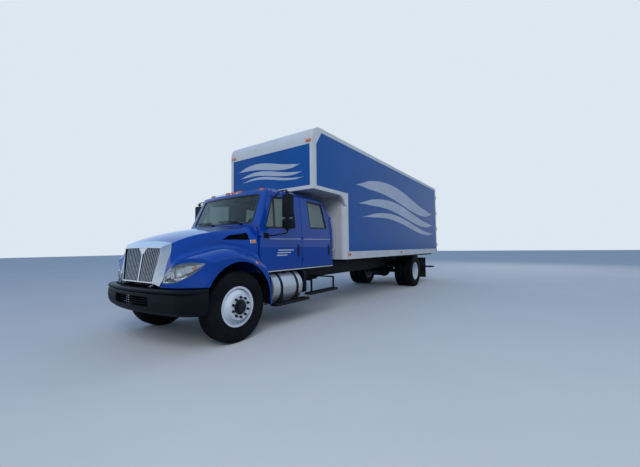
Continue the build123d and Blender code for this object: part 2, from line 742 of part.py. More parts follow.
interior = cab_inner & box_prism(-1000.0, 1000.0, from_axle(400.0), from_axle(2900.0), floor_joint_z,
                                 cab_sections[-1][0] - cab_roof_thickness)
reach = (700.0, 1100.0)
cuts = []
for door_name, outline, window, pull_place in door_specs:
    rebate = outline_prism(outline, door_gap, 0.0, *reach) - cab_rebate_back
    opening = outline_prism(outline, -jamb_lap, 30.0, *reach)
    cuts += [rebate, opening, mirror(rebate, about=Plane.YZ), mirror(opening, about=Plane.YZ)]
front_lap = box_prism(850.0, 1100.0, from_axle(500.0), from_axle(front_door_y + 20.0), door_sill_z - door_gap,
                      1740.0) - cab_rebate_back
cuts += [front_lap, mirror(front_lap, about=Plane.YZ)]

# Windscreen and back window outlines, (x, z)
screen_outline = [(-830.0, 1815.0), (830.0, 1815.0), (780.0, 2340.0), (-780.0, 2340.0)]
back_outline = [(-720.0, 1800.0), (720.0, 1800.0), (680.0, 2200.0), (-680.0, 2200.0)]


def window_prism(points, y_low, y_high, grow):
    """Prism of a front-view outline with rounded corners between two stations."""
    with BuildPart() as prism:
        with BuildSketch(station(y_low)):
            with BuildLine():
                Polyline(*points, close=True)
            make_face()
            if grow != 0.0:
                offset(amount=grow, kind=Kind.INTERSECTION)
            fillet(vertices(), radius=60.0)
        extrude(amount=-(y_high - y_low))
    return prism.part


cuts.append(window_prism(screen_outline, from_axle(300.0), from_axle(1100.0), 0.0))
cuts.append(window_prism(back_outline, from_axle(2400.0), from_axle(2900.0), 0.0))

# Cab body, hollow, with its doorways and windows cut
with BuildPart() as cab_shell:
    add(cab_outer)
    add(interior, mode=Mode.SUBTRACT)
    for cut in cuts:
        add(cut, mode=Mode.SUBTRACT)

# The shell parts at the floor and roof joints
cab_low, cab_high = cab_sections[0][0] - 10.0, cab_sections[-1][0] + 10.0
lower_zone = box_prism(-1100.0, 1100.0, from_axle(300.0), from_axle(3000.0), cab_low, floor_joint_z)
middle_zone = box_prism(-1100.0, 1100.0, from_axle(300.0), from_axle(3000.0), floor_joint_z, roof_joint_z)
upper_zone = box_prism(-1100.0, 1100.0, from_axle(300.0), from_axle(3000.0), roof_joint_z, cab_high)
hinge_arms = []
for front_edge in (front_door_y, pillar_y + 6.0):
    for height in hinge_heights:
        hinge_y = from_axle(front_edge + hinge_inset)
        with BuildPart() as arm:
            with BuildSketch(Plane.XY.offset(height - 12.0)):
                with Locations((hinge_x, hinge_y)):
                    Circle(hinge_knuckle_radius)
                with Locations(((hinge_x + 900.0) / 2, hinge_y)):
                    Rectangle(hinge_x - 900.0, 10.0)
                with Locations((hinge_x, hinge_y)):
                    Circle(hinge_pin_radius + running_clearance, mode=Mode.SUBTRACT)
            extrude(amount=24.0)
        hinge_arms += [arm.part, mirror(arm.part, about=Plane.YZ)]
grab_radius = 13.0
grab_x = 1036.0
grab_low = 1330.0
grab_high = 2030.0
grab_handle = tube_path([(940.0, from_axle(2765.0), grab_low), (grab_x, from_axle(2790.0), grab_low),
                         (grab_x, from_axle(2778.0), grab_high), (900.0, from_axle(2735.0), grab_high)],
                        40.0, grab_radius)
with BuildPart() as cab_floor:
    add(cab_shell.part)
    add(lower_zone, mode=Mode.INTERSECT)
finish(cab_floor.part, "cab_floor")
with BuildPart() as cab_frame:
    add(cab_shell.part)
    add(middle_zone, mode=Mode.INTERSECT)
    for hinge_arm in hinge_arms:
        add(hinge_arm)
    add(grab_handle)
    add(mirror(grab_handle, about=Plane.YZ))
    add(interior, mode=Mode.SUBTRACT)
finish(cab_frame.part, "cab_frame")
with BuildPart() as cab_roof:
    add(cab_shell.part)
    add(upper_zone, mode=Mode.INTERSECT)
finish(cab_roof.part, "cab_roof")

# Fixed glass: windscreen and back window
with BuildPart() as cab_glass:
    for points, y_low, y_high in ((screen_outline, 300.0, 1100.0), (back_outline, 2400.0, 2900.0)):
        add((cab_glass_face - cab_glass_back) & window_prism(points, from_axle(y_low), from_axle(y_high),
                                                             0.0))
finish(cab_glass.part, "cab_glass")

# Doors with their window openings, hinge pockets and pins, and the glass in each
divider_back = cab_solid(glass_depth - seat_gap, 0.0, 0.0)
for door_name, outline, window, pull_place in door_specs:
    hinge_y = from_axle(outline[0][0] + hinge_inset)
    with BuildPart() as door:
        add(cab_outer)
        add(cab_door_back, mode=Mode.SUBTRACT)
        add(outline_prism(outline, 0.0, 0.0, *reach), mode=Mode.INTERSECT)
        add(outline_prism(window, 0.0, 35.0, *reach), mode=Mode.SUBTRACT)
        if door_name == "front":
            add((cab_outer - divider_back) & outline_prism(vent_divider, 0.0, 0.0, *reach))
        with BuildSketch(Plane.YZ.offset(cab_sections[0][1] - 5.0)):
            with Locations((from_axle(pull_place), (pull_low + pull_high) / 2)):
                RectangleRounded(pull_width, pull_high - pull_low, 18.0)
        extrude(amount=pull_proud)
        for height in hinge_heights:
            with BuildSketch(Plane.XY.offset(height - hinge_pocket / 2)):
                with Locations(((hinge_x + 10.0 + 900.0) / 2, hinge_y - 4.0)):
                    Rectangle(hinge_x + 10.0 - 900.0, 2 * hinge_inset)
            extrude(amount=hinge_pocket, mode=Mode.SUBTRACT)
            with BuildSketch(Plane.XY.offset(height - hinge_pocket / 2)):
                with Locations((hinge_x, hinge_y)):
                    Circle(hinge_pin_radius)
            extrude(amount=hinge_pocket)
    finish(door.part, f"door_{door_name}_left")
    finish(mirror(door.part, about=Plane.YZ), f"door_{door_name}_right")
    with BuildPart() as glass:
        add(cab_glass_face)
        add(cab_glass_back, mode=Mode.SUBTRACT)
        add(outline_prism(window, 0.0, 35.0, *reach), mode=Mode.INTERSECT)
    finish(glass.part, f"glass_{door_name}_left")
    finish(mirror(glass.part, about=Plane.YZ), f"glass_{door_name}_right")

# Mirrors on bent tube arms from the front doors: two heads each, x, y, z centres and sizes
mirror_x = 1262.0
mirror_y = 950.0
mirror_arm_radius = 11.0
mirror_heads = [(2110.0, 400.0), (1800.0, 170.0)]
mirror_width = 210.0
mirror_depth = 60.0
arm_path = tube_path([(900.0, from_axle(1010.0), 2290.0), (1100.0, from_axle(mirror_y), 2385.0),
                      (mirror_x, from_axle(mirror_y), 2385.0), (mirror_x, from_axle(mirror_y), 1640.0),
                      (1090.0, from_axle(800.0), 1600.0), (985.0, from_axle(720.0), 1600.0)], 22.0,
                      mirror_arm_radius)
with BuildPart() as mirror_left:
    add(arm_path)
    for centre_z, height in mirror_heads:
        with BuildSketch(station(from_axle(mirror_y - mirror_depth / 2))):
            with Locations((mirror_x + 15.0, centre_z)):
                RectangleRounded(mirror_width, height, 40.0)
        extrude(amount=-mirror_depth)
    with BuildSketch(Plane.YZ.offset(985.0)):
        with Locations((from_axle(720.0), 1600.0)):
            RectangleRounded(120.0, 90.0, 20.0)
    extrude(amount=12.0)
    add(cab_outer, mode=Mode.SUBTRACT)
finish(mirror_left.part, "mirror_left")
finish(mirror(mirror_left.part, about=Plane.YZ), "mirror_right")

# Dashboard with the steering column
wheel_centre = (430.0, from_axle(1080.0), 1640.0)
column_slope = 35.0
column_axis = Vector(0, cos(radians(column_slope)), sin(radians(column_slope)))
column_radius = 32.0
shaft_bore = 11.0
dash = side_prism(placed([(500.0, 1100.0), (620.0, 1100.0), (760.0, 1300.0), (900.0, 1400.0), (900.0, 1640.0),
                          (780.0, 1740.0), (500.0, 1740.0)]), -1000.0, 1000.0) & interior
column_low = Vector(*wheel_centre) - column_axis * 360.0
column_top = Vector(*wheel_centre) - column_axis * 60.0
column = rod(tuple(column_low), tuple(column_top), column_radius)
with BuildPart() as dashboard:
    add(dash)
    add(column)
    with BuildSketch(Plane(origin=tuple(column_top), z_dir=-column_axis)):
        Circle(shaft_bore + running_clearance)
    extrude(amount=120.0, mode=Mode.SUBTRACT)
finish(dashboard.part, "dashboard")

# Steering wheel: rim, three spokes, hub and shaft
wheel_rim_radius = 225.0
wheel_plane = Plane(origin=wheel_centre, x_dir=(1, 0, 0), z_dir=column_axis)
with BuildPart() as steering_wheel:
    with BuildSketch(Plane(origin=wheel_centre, x_dir=(1, 0, 0), z_dir=wheel_plane.y_dir)):
        with Locations((wheel_rim_radius, 0)):
            Circle(15.0)
    revolve(axis=Axis(wheel_centre, tuple(column_axis)))
    with BuildSketch(wheel_plane.offset(-30.0)):
        Circle(48.0)
    extrude(amount=40.0)
    with BuildSketch(wheel_plane.offset(-10.0)):
        with PolarLocations(wheel_rim_radius / 2, 3, start_angle=-30.0):
            Rectangle(wheel_rim_radius - 20.0, 34.0)
    extrude(amount=14.0)
    with BuildSketch(wheel_plane.offset(-160.0)):
        Circle(shaft_bore)
    extrude(amount=140.0)
finish(steering_wheel.part, "steering_wheel")

# Seats: side, front, rear, width, cushion height
seat_specs = [(430.0, 1180.0, 1680.0, 500.0, 1420.0), (-430.0, 1180.0, 1680.0, 500.0, 1420.0),
              (0.0, 2150.0, 2650.0, 1500.0, 1420.0)]
seat_parts = []
for middle, front, rear, width, height in seat_specs:
    seat_parts.append(box_prism(middle - width / 2 + 60.0, middle + width / 2 - 60.0, from_axle(front + 60.0),
                                from_axle(rear - 60.0), floor_joint_z, height - 130.0))
    seat_parts.append(side_prism(placed([(front, height - 130.0), (rear, height - 130.0),
                                         (rear + 60.0, height + 600.0),
                                         (rear - 40.0, height + 600.0), (rear - 110.0, height),
                                         (front, height)]),
                                 middle - width / 2, middle + width / 2, 25.0))
with BuildPart() as seats:
    for seat_part in seat_parts:
        add(seat_part)
finish(seats.part, "seats")

# Hood and fender form, one row a station, counted from the front axle:
# station, middle z, shoulder x, shoulder z, side bulge, valley x, valley z, crest x, crest z, side z
hood_sections = [
    (-890.0, 1440.0, 640.0, 1400.0, 4.0, 720.0, 1110.0, 880.0, 1085.0, 960.0),
    (-640.0, 1565.0, 668.0, 1522.0, 8.0, 765.0, 1262.0, 950.0, 1296.0, 1130.0),
    (-300.0, 1672.0, 720.0, 1617.0, 16.0, 812.0, 1352.0, 985.0, 1372.0, 1225.0),
    (60.0, 1738.0, 752.0, 1672.0, 30.0, 872.0, 1356.0, 1040.0, 1366.0, 1235.0),
    (330.0, 1772.0, 778.0, 1712.0, 52.0, 945.0, 1272.0, 1080.0, 1248.0, 1140.0),
    (551.0, 1794.0, 802.0, 1738.0, 66.0, 990.0, 1190.0, 1105.0, 1135.0, 1040.0),
    (680.0, 1800.0, 806.0, 1744.0, 66.0, 1000.0, 1150.0, 1115.0, 1090.0, 1000.0),
]
valley_blend = 95.0
hood_base_z = 868.0
tail_low_z = 470.0
tail_top_z = 1215.0
tail_inner_x = 1012.0
engine_bay_half = 960.0
arch_z = axle_z + 55.0
arch_radius = tyre_radius + 85.0
arch_lip = 30.0
arch_lip_proud = 8.0
# The front leans back: the plane that the grille's surround seats on
front_seat_y = -898.0
front_seat_z = 885.0
front_rake = 12.6


def raked(seat_y, seat_z, lean, ahead=0.0):
    """Plane facing forwards that leans back by an angle: its x is +X and its y runs up the slope."""
    forward = Vector(0, -cos(radians(lean)), sin(radians(lean)))
    origin = Vector(0, from_axle(seat_y), seat_z) + forward * ahead
    return Plane(origin=origin, x_dir=(1, 0, 0), z_dir=forward)


def hood_half(row, inset):
    """Right half of one section from the middle outwards, as (x, z) points of its lines and arcs."""
    place, middle_z, shoulder_x, shoulder_z, bulge, valley_x, valley_z, crest_x, crest_z, side_z = row
    top = Vector(0, middle_z - inset)
    shoulder = Vector(shoulder_x - inset, shoulder_z - inset)
    valley = Vector(valley_x - inset, valley_z - inset)
    crest = Vector(crest_x - inset, crest_z - inset)
    edge = Vector(fender_half_width - inset, side_z)
    fall = (shoulder - valley).normalized()
    run = (crest - valley).normalized()
    above = valley + fall * valley_blend
    beyond = valley + run * valley_blend
    hollow = valley * 0.5 + (above + beyond) * 0.25
    side_middle = (shoulder + above) * 0.5 + Vector(-fall.Y, fall.X) * -bulge
    return top, shoulder, side_middle, above, hollow, beyond, crest, edge


def hood_form(inset):
    """Hood and both fenders, pulled in by an inset; an inner form runs out at the rear and base."""
    with BuildPart() as form:
        for row in hood_sections:
            top, shoulder, side_middle, above, hollow, beyond, crest, edge = hood_half(row, inset)
            with BuildSketch(station(from_axle(row[0]))):
                with BuildLine():
                    ThreePointArc((-shoulder.X, shoulder.Y), (0, top.Y), (shoulder.X, shoulder.Y))
                    for way in (1, -1):
                        ThreePointArc((way * shoulder.X, shoulder.Y), (way * side_middle.X, side_middle.Y),
                                      (way * above.X, above.Y))
                        ThreePointArc((way * above.X, above.Y), (way * hollow.X, hollow.Y),
                                      (way * beyond.X, beyond.Y))
                        ThreePointArc((way * beyond.X, beyond.Y), (way * crest.X, crest.Y),
                                      (way * edge.X, edge.Y))
                        Line((way * edge.X, edge.Y), (way * edge.X, tail_low_z - 200.0))
                    Line((edge.X, tail_low_z - 200.0), (-edge.X, tail_low_z - 200.0))
                make_face()
        loft()
        # Side outline: base, upright rear edge, and the tail behind the wheel
        low = hood_base_z - 4 * inset
        tail_low = tail_low_z - 4 * inset
        rear = hood_rear + 4 * inset
        with BuildSketch(Plane.YZ.offset(-1300.0)):
            with BuildLine():
                Polyline((from_axle(-1000.0), low), (from_axle(-1000.0), 2000.0), (from_axle(rear), 2000.0),
                         (from_axle(rear), tail_top_z - inset), (from_axle(500.0 - inset), 1150.0 - inset))
                ThreePointArc((from_axle(500.0 - inset), 1150.0 - inset), (from_axle(608.0 - inset), 865.0),
                              (from_axle(655.0 - inset), 600.0))
                Polyline((from_axle(655.0 - inset), 600.0), (from_axle(655.0 - inset), tail_low),
                         (from_axle(-100.0), tail_low), (from_axle(-100.0), low), (from_axle(-1000.0), low))
            make_face()
        extrude(amount=2600.0, mode=Mode.INTERSECT)
        # Plan outline: the fenders' fronts sweep back round the lamps
        outer_x = fender_half_width - inset
        with BuildSketch(Plane.XY.offset(300.0)):
            with BuildLine():
                for way in (1, -1):
                    Line((0, from_axle(-905.0 + inset)), (way * 560.0, from_axle(-888.0 + inset)))
                    ThreePointArc((way * 560.0, from_axle(-888.0 + inset)),
                                  (way * (925.0 - inset / 2), from_axle(-772.0 + inset)),
                                  (way * (1136.0 - inset), from_axle(-575.0 + inset)))
                    ThreePointArc((way * (1136.0 - inset), from_axle(-575.0 + inset)),
                                  (way * (1168.0 - inset), from_axle(-495.0)),
                                  (way * outer_x, from_axle(-400.0)))
                    Line((way * outer_x, from_axle(-400.0)), (way * outer_x, from_axle(720.0)))
                Line((outer_x, from_axle(720.0)), (-outer_x, from_axle(720.0)))
            make_face()
        extrude(amount=1700.0, mode=Mode.INTERSECT)
        with BuildSketch(raked(front_seat_y + inset, front_seat_z, front_rake)):
            Rectangle(3000.0, 3000.0)
        extrude(amount=400.0, mode=Mode.SUBTRACT)
    return form.part

hood_outer = hood_form(0.0)
hood_inner = hood_form(hood_skin)

# Lamp outline in front view, (x, z): a swept almond between its inner corner and its tip
lamp_tip = (1143.0, 1184.0)
lamp_inner = (598.0, 938.0)
lamp_crown = (765.0, 1124.0)
lamp_keel = (968.0, 1002.0)
lamp_depth = 45.0
# Grille surround: height up the slope, half width of its seat on the hood, half width of the bar opening
surround_rows = [
    (0.0, 583.0, 435.0),
    (120.0, 634.0, 455.0),
    (330.0, 648.0, 490.0),
    (480.0, 684.0, 512.0),
    (602.0, 652.0, 519.0),
]
surround_crown = 640.0
seat_height = surround_rows[-1][0]
seat_lap = 14.0
opening_y = -917.0
opening_z = 933.0
opening_rake = 8.5
opening_height = 472.0
opening_crown = 482.0
opening_rim = 14.0
seat_plane = raked(front_seat_y, front_seat_z, front_rake)
opening_plane = raked(opening_y, opening_z, opening_rake)
# Air scoop in the hood's side, (y, z)
scoop_outline = [(-47.0, 1522.0), (70.0, 1592.0), (382.0, 1640.0), (400.0, 1622.0), (396.0, 1538.0),
                 (380.0, 1523.0)]
scoop_inner_x = 600.0


def lamp_prism():
    """Prism of the left lamp's outline through the front of the fender."""
    with BuildPart() as prism:
        with BuildSketch(station(from_axle(-1000.0))):
            with BuildLine():
                ThreePointArc(lamp_inner, lamp_crown, lamp_tip)
                ThreePointArc(lamp_tip, lamp_keel, lamp_inner)
            make_face()
        extrude(amount=-620.0)
    return prism.part


def surround_face(plane, column, grow, foot, head, crown):
    """Outline of the surround's seat (column 1) or opening (column 2), drawn on its raked plane and grown."""
    rise = (head - foot) / (surround_rows[-1][0] - surround_rows[0][0])
    right = [(row[column] + grow, foot + row[0] * rise) for row in surround_rows]
    with BuildSketch(plane) as outline:
        with BuildLine():
            Polyline(*right)
            ThreePointArc(right[-1], (0, crown), (-right[-1][0], right[-1][1]))
            Polyline(*[(-across, up) for across, up in reversed(right)])
            Line((-right[0][0], right[0][1]), right[0])
        make_face()
    return outline.sketch


lamp_zone = lamp_prism()
with BuildPart() as grille_hole:
    with BuildSketch(seat_plane.offset(-hood_skin - 60.0)):
        add(surround_face(Plane.XY, 1, -seat_lap, seat_lap, seat_height - seat_lap,
                          surround_crown - seat_lap))
        with Locations((0, -10.0)):
            Rectangle(2 * (surround_rows[0][1] - seat_lap), 80.0)
    extrude(amount=200.0)
with BuildPart() as hood:
    add(hood_outer)
    add(hood_inner, mode=Mode.SUBTRACT)
    for side in (-1, 1):
        # Flared lip round the wheel arch, then the arch itself, open through the inner walls
        with BuildSketch(Plane.YZ.offset(min(side * 1120.0, side * (fender_half_width + arch_lip_proud)))):
            with Locations((front_axle_y, arch_z)):
                Circle(arch_radius + arch_lip)
            with Locations((from_axle(-arch_radius), hood_base_z - arch_radius)):
                Rectangle(2 * arch_radius, 2 * arch_radius, mode=Mode.SUBTRACT)
            with Locations((from_axle(arch_radius), tail_low_z - arch_radius)):
                Rectangle(2 * arch_radius, 2 * arch_radius, mode=Mode.SUBTRACT)
        extrude(amount=fender_half_width + arch_lip_proud - 1120.0)
        with BuildSketch(Plane.YZ.offset(min(side * 400.0, side * 1300.0))):
            with Locations((front_axle_y, arch_z)):
                Circle(arch_radius)
            with Locations((front_axle_y, arch_z - arch_radius / 2)):
                Rectangle(2 * arch_radius, arch_radius)
        extrude(amount=900.0, mode=Mode.SUBTRACT)
        with BuildSketch(Plane.YZ.offset(min(side * scoop_inner_x, side * 1100.0))):
            with BuildLine():
                Polyline(*[(from_axle(along), height) for along, height in scoop_outline], close=True)
            make_face()
        extrude(amount=1100.0 - scoop_inner_x, mode=Mode.SUBTRACT)
    add(cab_solid(-12.0, -14.0, -12.0), mode=Mode.SUBTRACT)
    add(lamp_zone, mode=Mode.SUBTRACT)
    add(mirror(lamp_zone, about=Plane.YZ), mode=Mode.SUBTRACT)
    add(grille_hole.part, mode=Mode.SUBTRACT)
    # Behind the arches the skin ends at the cab's side, clear of the springs, and is open above the engine
    for half, high in ((tail_inner_x, door_sill_z), (engine_bay_half, tail_top_z)):
        with BuildSketch(Plane.XY.offset(tail_low_z - 100.0)):
            with Locations((0, from_axle(500.0))):
                Rectangle(2 * half, 600.0)
        extrude(amount=high - tail_low_z + 100.0, mode=Mode.SUBTRACT)
finish(hood.part, "hood")

# Headlamps: the fender's own surface over the lamp's outline, as thick as the lamp is deep
lamp_back = hood_form(lamp_depth)
with BuildPart() as lamp_left:
    add(hood_outer)
    add(lamp_back, mode=Mode.SUBTRACT)
    add(lamp_zone, mode=Mode.INTERSECT)
with BuildPart() as headlamps:
    add(lamp_left.part)
    add(mirror(lamp_left.part, about=Plane.YZ))
finish(headlamps.part, "headlamps")

# Grille: a bright surround that flares from the bar opening back to its seat, and two banks of upright bars
bar_count = 9
bar_width = 13.0
bar_depth = 26.0
bar_recess = 12.0
divider_half = 17.0
vee_half = 110.0
vee_height = 90.0
ear_width = 12.0
with BuildPart() as grille:
    add(surround_face(seat_plane, 1, 0.0, 0.0, seat_height, surround_crown))
    add(surround_face(opening_plane, 2, opening_rim, -opening_rim, opening_height + opening_rim,
                      opening_crown + opening_rim))
    loft(ruled=True)
    with BuildSketch(opening_plane.offset(60.0)):
        add(surround_face(Plane.XY, 2, 0.0, 0.0, opening_height, opening_crown))
    extrude(amount=-260.0, mode=Mode.SUBTRACT)
    # Divider between the banks, spread into a plain wedge at its top
    with BuildSketch(opening_plane.offset(-bar_recess)):
        with BuildLine():
            Polyline((-divider_half, -opening_rim / 2), (divider_half, -opening_rim / 2),
                     (divider_half, opening_height - vee_height), (vee_half, opening_height),
                     (vee_half, opening_height + opening_rim), (-vee_half, opening_height + opening_rim),
                     (-vee_half, opening_height), (-divider_half, opening_height - vee_height), close=True)
        make_face()
    extrude(amount=-bar_depth)
    for side in (-1, 1):
        for count in range(1, bar_count + 1):
            share = count / (bar_count + 1)
            foot = side * (divider_half + (surround_rows[0][2] - divider_half) * share)
            head = side * (divider_half + (surround_rows[-1][2] - divider_half) * share)
            start = opening_plane.from_local_coords((foot, -opening_rim / 2, -bar_recess - bar_depth / 2))
            end = opening_plane.from_local_coords((head, opening_height + opening_rim / 2,
                                                   -bar_recess - bar_depth / 2))
            with BuildSketch(Plane(origin=start, x_dir=(1, 0, 0), z_dir=end - start)):
                RectangleRounded(bar_width, bar_depth, bar_width / 2 - 0.5)
            extrude(amount=(end - start).length)
    # Hinge ears below the surround, each with the pin that turns in the frame's horn
    pivot_y = from_axle(hood_pivot_y)
    for side in (-1, 1):
        ear_in = side * (hood_pivot_x + horn_half + ear_gap)
        with BuildSketch(Plane.YZ.offset(min(ear_in, ear_in + side * ear_width))):
            with Locations((pivot_y, hood_pivot_z)):
                Circle(hood_ear_radius)
            with BuildLine():
                Polyline((pivot_y - hood_ear_radius, hood_pivot_z), (pivot_y + hood_ear_radius, hood_pivot_z),
                         (pivot_y + 44.0, front_seat_z + 6.0), (pivot_y + 14.0, front_seat_z + 6.0),
                         close=True)
            make_face()
        extrude(amount=ear_width)
        pin_in = side * (hood_pivot_x - 12.0)
        with BuildSketch(Plane.YZ.offset(min(pin_in, pin_in + side * 24.0))):
            with Locations((pivot_y, hood_pivot_z)):
                Circle(hood_pin_radius)
        extrude(amount=24.0)
finish(grille.part, "grille")

# Cargo body. Side view outline with the rounded nose, as (y, z)
inner_x = body_half_width - frame_depth


def body_side(x_low, x_high):
    """Full side outline of the cargo body with its attic and rounded nose."""
    with BuildPart() as plate:
        with BuildSketch(Plane.YZ.offset(x_low)):
            with BuildLine():
                Line((attic_front, attic_bottom), (attic_front, body_top - nose_radius))
                ThreePointArc((attic_front, body_top - nose_radius),
                              (attic_front + nose_radius * (1 - sqrt(0.5)),
                               body_top - nose_radius * (1 - sqrt(0.5))),
                              (attic_front + nose_radius, body_top))
                Polyline((attic_front + nose_radius, body_top), (body_rear, body_top),
                         (body_rear, body_floor_bottom),
                         (bulkhead_front, body_floor_bottom), (bulkhead_front, attic_bottom),
                         (attic_front, attic_bottom))
            make_face()
        extrude(amount=x_high - x_low)
    return plate.part


cap_height = 366.0
cap_low = body_top - cap_height
cap_reach = 190.0
panel_outline = [(attic_front + nose_side, attic_bottom + attic_rail_height),
                 (attic_front + nose_side, cap_low),
                 (attic_front + nose_side + cap_reach, body_top - rail_high_height),
                 (body_rear - rear_post_width, body_top - rail_high_height),
                 (body_rear - rear_post_width, body_floor_bottom + rail_low_height),
                 (bulkhead_front + bulkhead_side, body_floor_bottom + rail_low_height),
                 (bulkhead_front + bulkhead_side, attic_bottom + attic_rail_height)]
bulkhead_post = 200.0
side_ring = body_side(inner_x, body_half_width) - side_prism(panel_outline, inner_x, body_half_width)
nose_band = body_side(-inner_x, inner_x) & box_prism(-inner_x, inner_x, attic_front,
                                                     attic_front + nose_radius, cap_low,
                                                    body_top)
with BuildPart() as nose_core:
    with BuildSketch(Plane.YZ.offset(-inner_x)):
        with BuildLine():
            Line((attic_front + wall_thickness, cap_low), (attic_front + wall_thickness,
                                                           body_top - nose_radius))
            ThreePointArc((attic_front + wall_thickness, body_top - nose_radius),
                          (attic_front + nose_radius - (nose_radius - wall_thickness) * sqrt(0.5),
                           body_top - nose_radius + (nose_radius - wall_thickness) * sqrt(0.5)),
                          (attic_front + nose_radius, body_top - wall_thickness))
            Polyline((attic_front + nose_radius, body_top - wall_thickness),
                     (attic_front + nose_radius, cap_low),
                     (attic_front + wall_thickness, cap_low))
        make_face()
    extrude(amount=2 * inner_x)
door_half = body_half_width - rear_post_width
hinge_place = (body_half_width + cargo_hinge_out, body_rear + 14.0)
door_low = body_floor_top + cargo_door_gap + 2.0
door_high = body_top - header_height - cargo_door_gap - 2.0
hinge_count = 4
hinge_end = 195.0
hinge_step = (door_high - door_low - 2 * hinge_end) / (hinge_count - 1)
hinge_z = [door_low + hinge_end + count * hinge_step for count in range(hinge_count)]
# Rounded corner posts of the bulkhead, and the gusset that joins each to the attic above
corner_radius = 125.0
gusset_drop = 203.0
gusset_reach = 220.0
corner_cuts = []
for side in (-1, 1):
    with BuildPart() as corner_cut:
        corner_x = side * (body_half_width - corner_radius)
        with BuildSketch(Plane.XY.offset(body_floor_bottom - 10.0)):
            with Locations((side * (body_half_width - corner_radius / 2),
                            bulkhead_front + corner_radius / 2)):
                Rectangle(corner_radius, corner_radius)
            with Locations((corner_x, bulkhead_front + corner_radius)):
                Circle(corner_radius, mode=Mode.SUBTRACT)
        extrude(amount=attic_bottom - gusset_drop - body_floor_bottom + 10.0)
    corner_cuts.append(corner_cut.part)
with BuildPart() as cargo_frame:
    add(side_ring)
    add(mirror(side_ring, about=Plane.YZ))
    add(nose_band - nose_core.part)
    add(box_prism(-inner_x, inner_x, attic_front, attic_front + frame_depth, attic_bottom,
                  attic_bottom + attic_rail_height))
    add(box_prism(-inner_x, inner_x, body_rear - frame_depth, body_rear, body_top - header_height, body_top))
    add(box_prism(-inner_x, inner_x, body_rear - frame_depth, body_rear, body_floor_bottom, body_floor_top))
    for side in (-1, 1):
        x_low = min(side * inner_x, side * door_half)
        add(box_prism(x_low, x_low + inner_x - door_half, body_rear - 90.0, body_rear, body_floor_bottom,
                      body_top - 60.0))
        x_low = min(side * inner_x, side * (body_half_width - bulkhead_post))
        add(box_prism(x_low, x_low + bulkhead_post - frame_depth, bulkhead_front,
                      bulkhead_front + frame_depth,
                      body_floor_bottom, attic_bottom))
        x_low = min(side * inner_x, side * (body_half_width - nose_front))
        add(box_prism(x_low, x_low + nose_front - frame_depth, attic_front, attic_front + frame_depth,
                      attic_bottom,
                      cap_low))
        for height in hinge_z:
            for z_low in (height - cargo_hinge_height / 2 - 16.0, height + cargo_hinge_height / 2 + 1.0):
                x_low = min(side * (body_half_width - 1.0), side * (hinge_place[0] + 4.0))
                add(box_prism(x_low, x_low + cargo_hinge_out + 5.0, body_rear - 50.0, hinge_place[1] + 6.0,
                              z_low,
                              z_low + 15.0))
            with BuildSketch(Plane.XY.offset(height - cargo_hinge_height / 2 - 10.0)):
                with Locations((side * hinge_place[0], hinge_place[1])):
                    Circle(cargo_hinge_pin)
            extrude(amount=cargo_hinge_height + 20.0)
    for corner_cut in corner_cuts:
        add(corner_cut, mode=Mode.SUBTRACT)
    for side in (-1, 1):
        with BuildSketch(Plane.YZ.offset(min(side * inner_x, side * body_half_width))):
            with BuildLine():
                Polyline((bulkhead_front, attic_bottom - gusset_drop), (bulkhead_front, attic_bottom),
                         (bulkhead_front - gusset_reach, attic_bottom))
                ThreePointArc((bulkhead_front - gusset_reach, attic_bottom),
                              (bulkhead_front - gusset_reach * 0.38, attic_bottom - gusset_drop * 0.38),
                              (bulkhead_front, attic_bottom - gusset_drop))
            make_face()
        extrude(amount=frame_depth)
finish(cargo_frame.part, "cargo_frame")

with BuildPart() as cargo_wall_left:
    add(side_prism(panel_outline, body_half_width - wall_recess - wall_thickness,
                   body_half_width - wall_recess))
finish(cargo_wall_left.part, "cargo_wall_left")
finish(mirror(cargo_wall_left.part, about=Plane.YZ), "cargo_wall_right")
bulkhead_x = body_half_width - bulkhead_post
with BuildPart() as cargo_bulkhead:
    add(box_prism(-bulkhead_x, bulkhead_x, bulkhead_front + wall_recess,
                  bulkhead_front + wall_recess + wall_thickness,
                  body_floor_bottom, attic_bottom))
finish(cargo_bulkhead.part, "cargo_bulkhead")
attic_x = body_half_width - nose_front
with BuildPart() as attic_panel:
    add(box_prism(-attic_x, attic_x, attic_front + wall_recess, attic_front + wall_recess + wall_thickness,
                  attic_bottom + attic_rail_height, cap_low))
finish(attic_panel.part, "attic_panel")
with BuildPart() as attic_floor:
    add(box_prism(-inner_x, inner_x, attic_front + frame_depth, bulkhead_front + frame_depth, attic_bottom,
                  attic_bottom + attic_floor_thickness))
finish(attic_floor.part, "attic_floor")
with BuildPart() as cargo_roof:
    add(box_prism(-inner_x, inner_x, attic_front + nose_radius, body_rear - frame_depth,
                  body_top - roof_thickness,
                  body_top))
finish(cargo_roof.part, "cargo_roof")
sill_width = 70.0
cross_sill_width = 60.0
cross_sill_height = 52.0
cross_sill_pitch = 560.0
cross_sill_count = 13
with BuildPart() as cargo_floor:
    add(box_prism(-inner_x, inner_x, bulkhead_front + frame_depth, body_rear - 90.0, body_floor_bottom,
                  body_floor_top))
    for side in (-1, 1):
        x_low = min(side * rail_half_width, side * (rail_half_width - sill_width))
        add(box_prism(x_low, x_low + sill_width, bulkhead_front + frame_depth, body_rear - 120.0, rail_top,
                      body_floor_bottom))
    # Cross sills under the floor, left out over the rear wheels
    for count in range(cross_sill_count):
        sill_y = bulkhead_front + 200.0 + count * cross_sill_pitch
        if abs(sill_y - rear_axle_y) > tyre_radius + cross_sill_width:
            add(box_prism(-inner_x, inner_x, sill_y - cross_sill_width / 2, sill_y + cross_sill_width / 2,
                          body_floor_bottom - cross_sill_height, body_floor_bottom))
finish(cargo_floor.part, "cargo_floor")

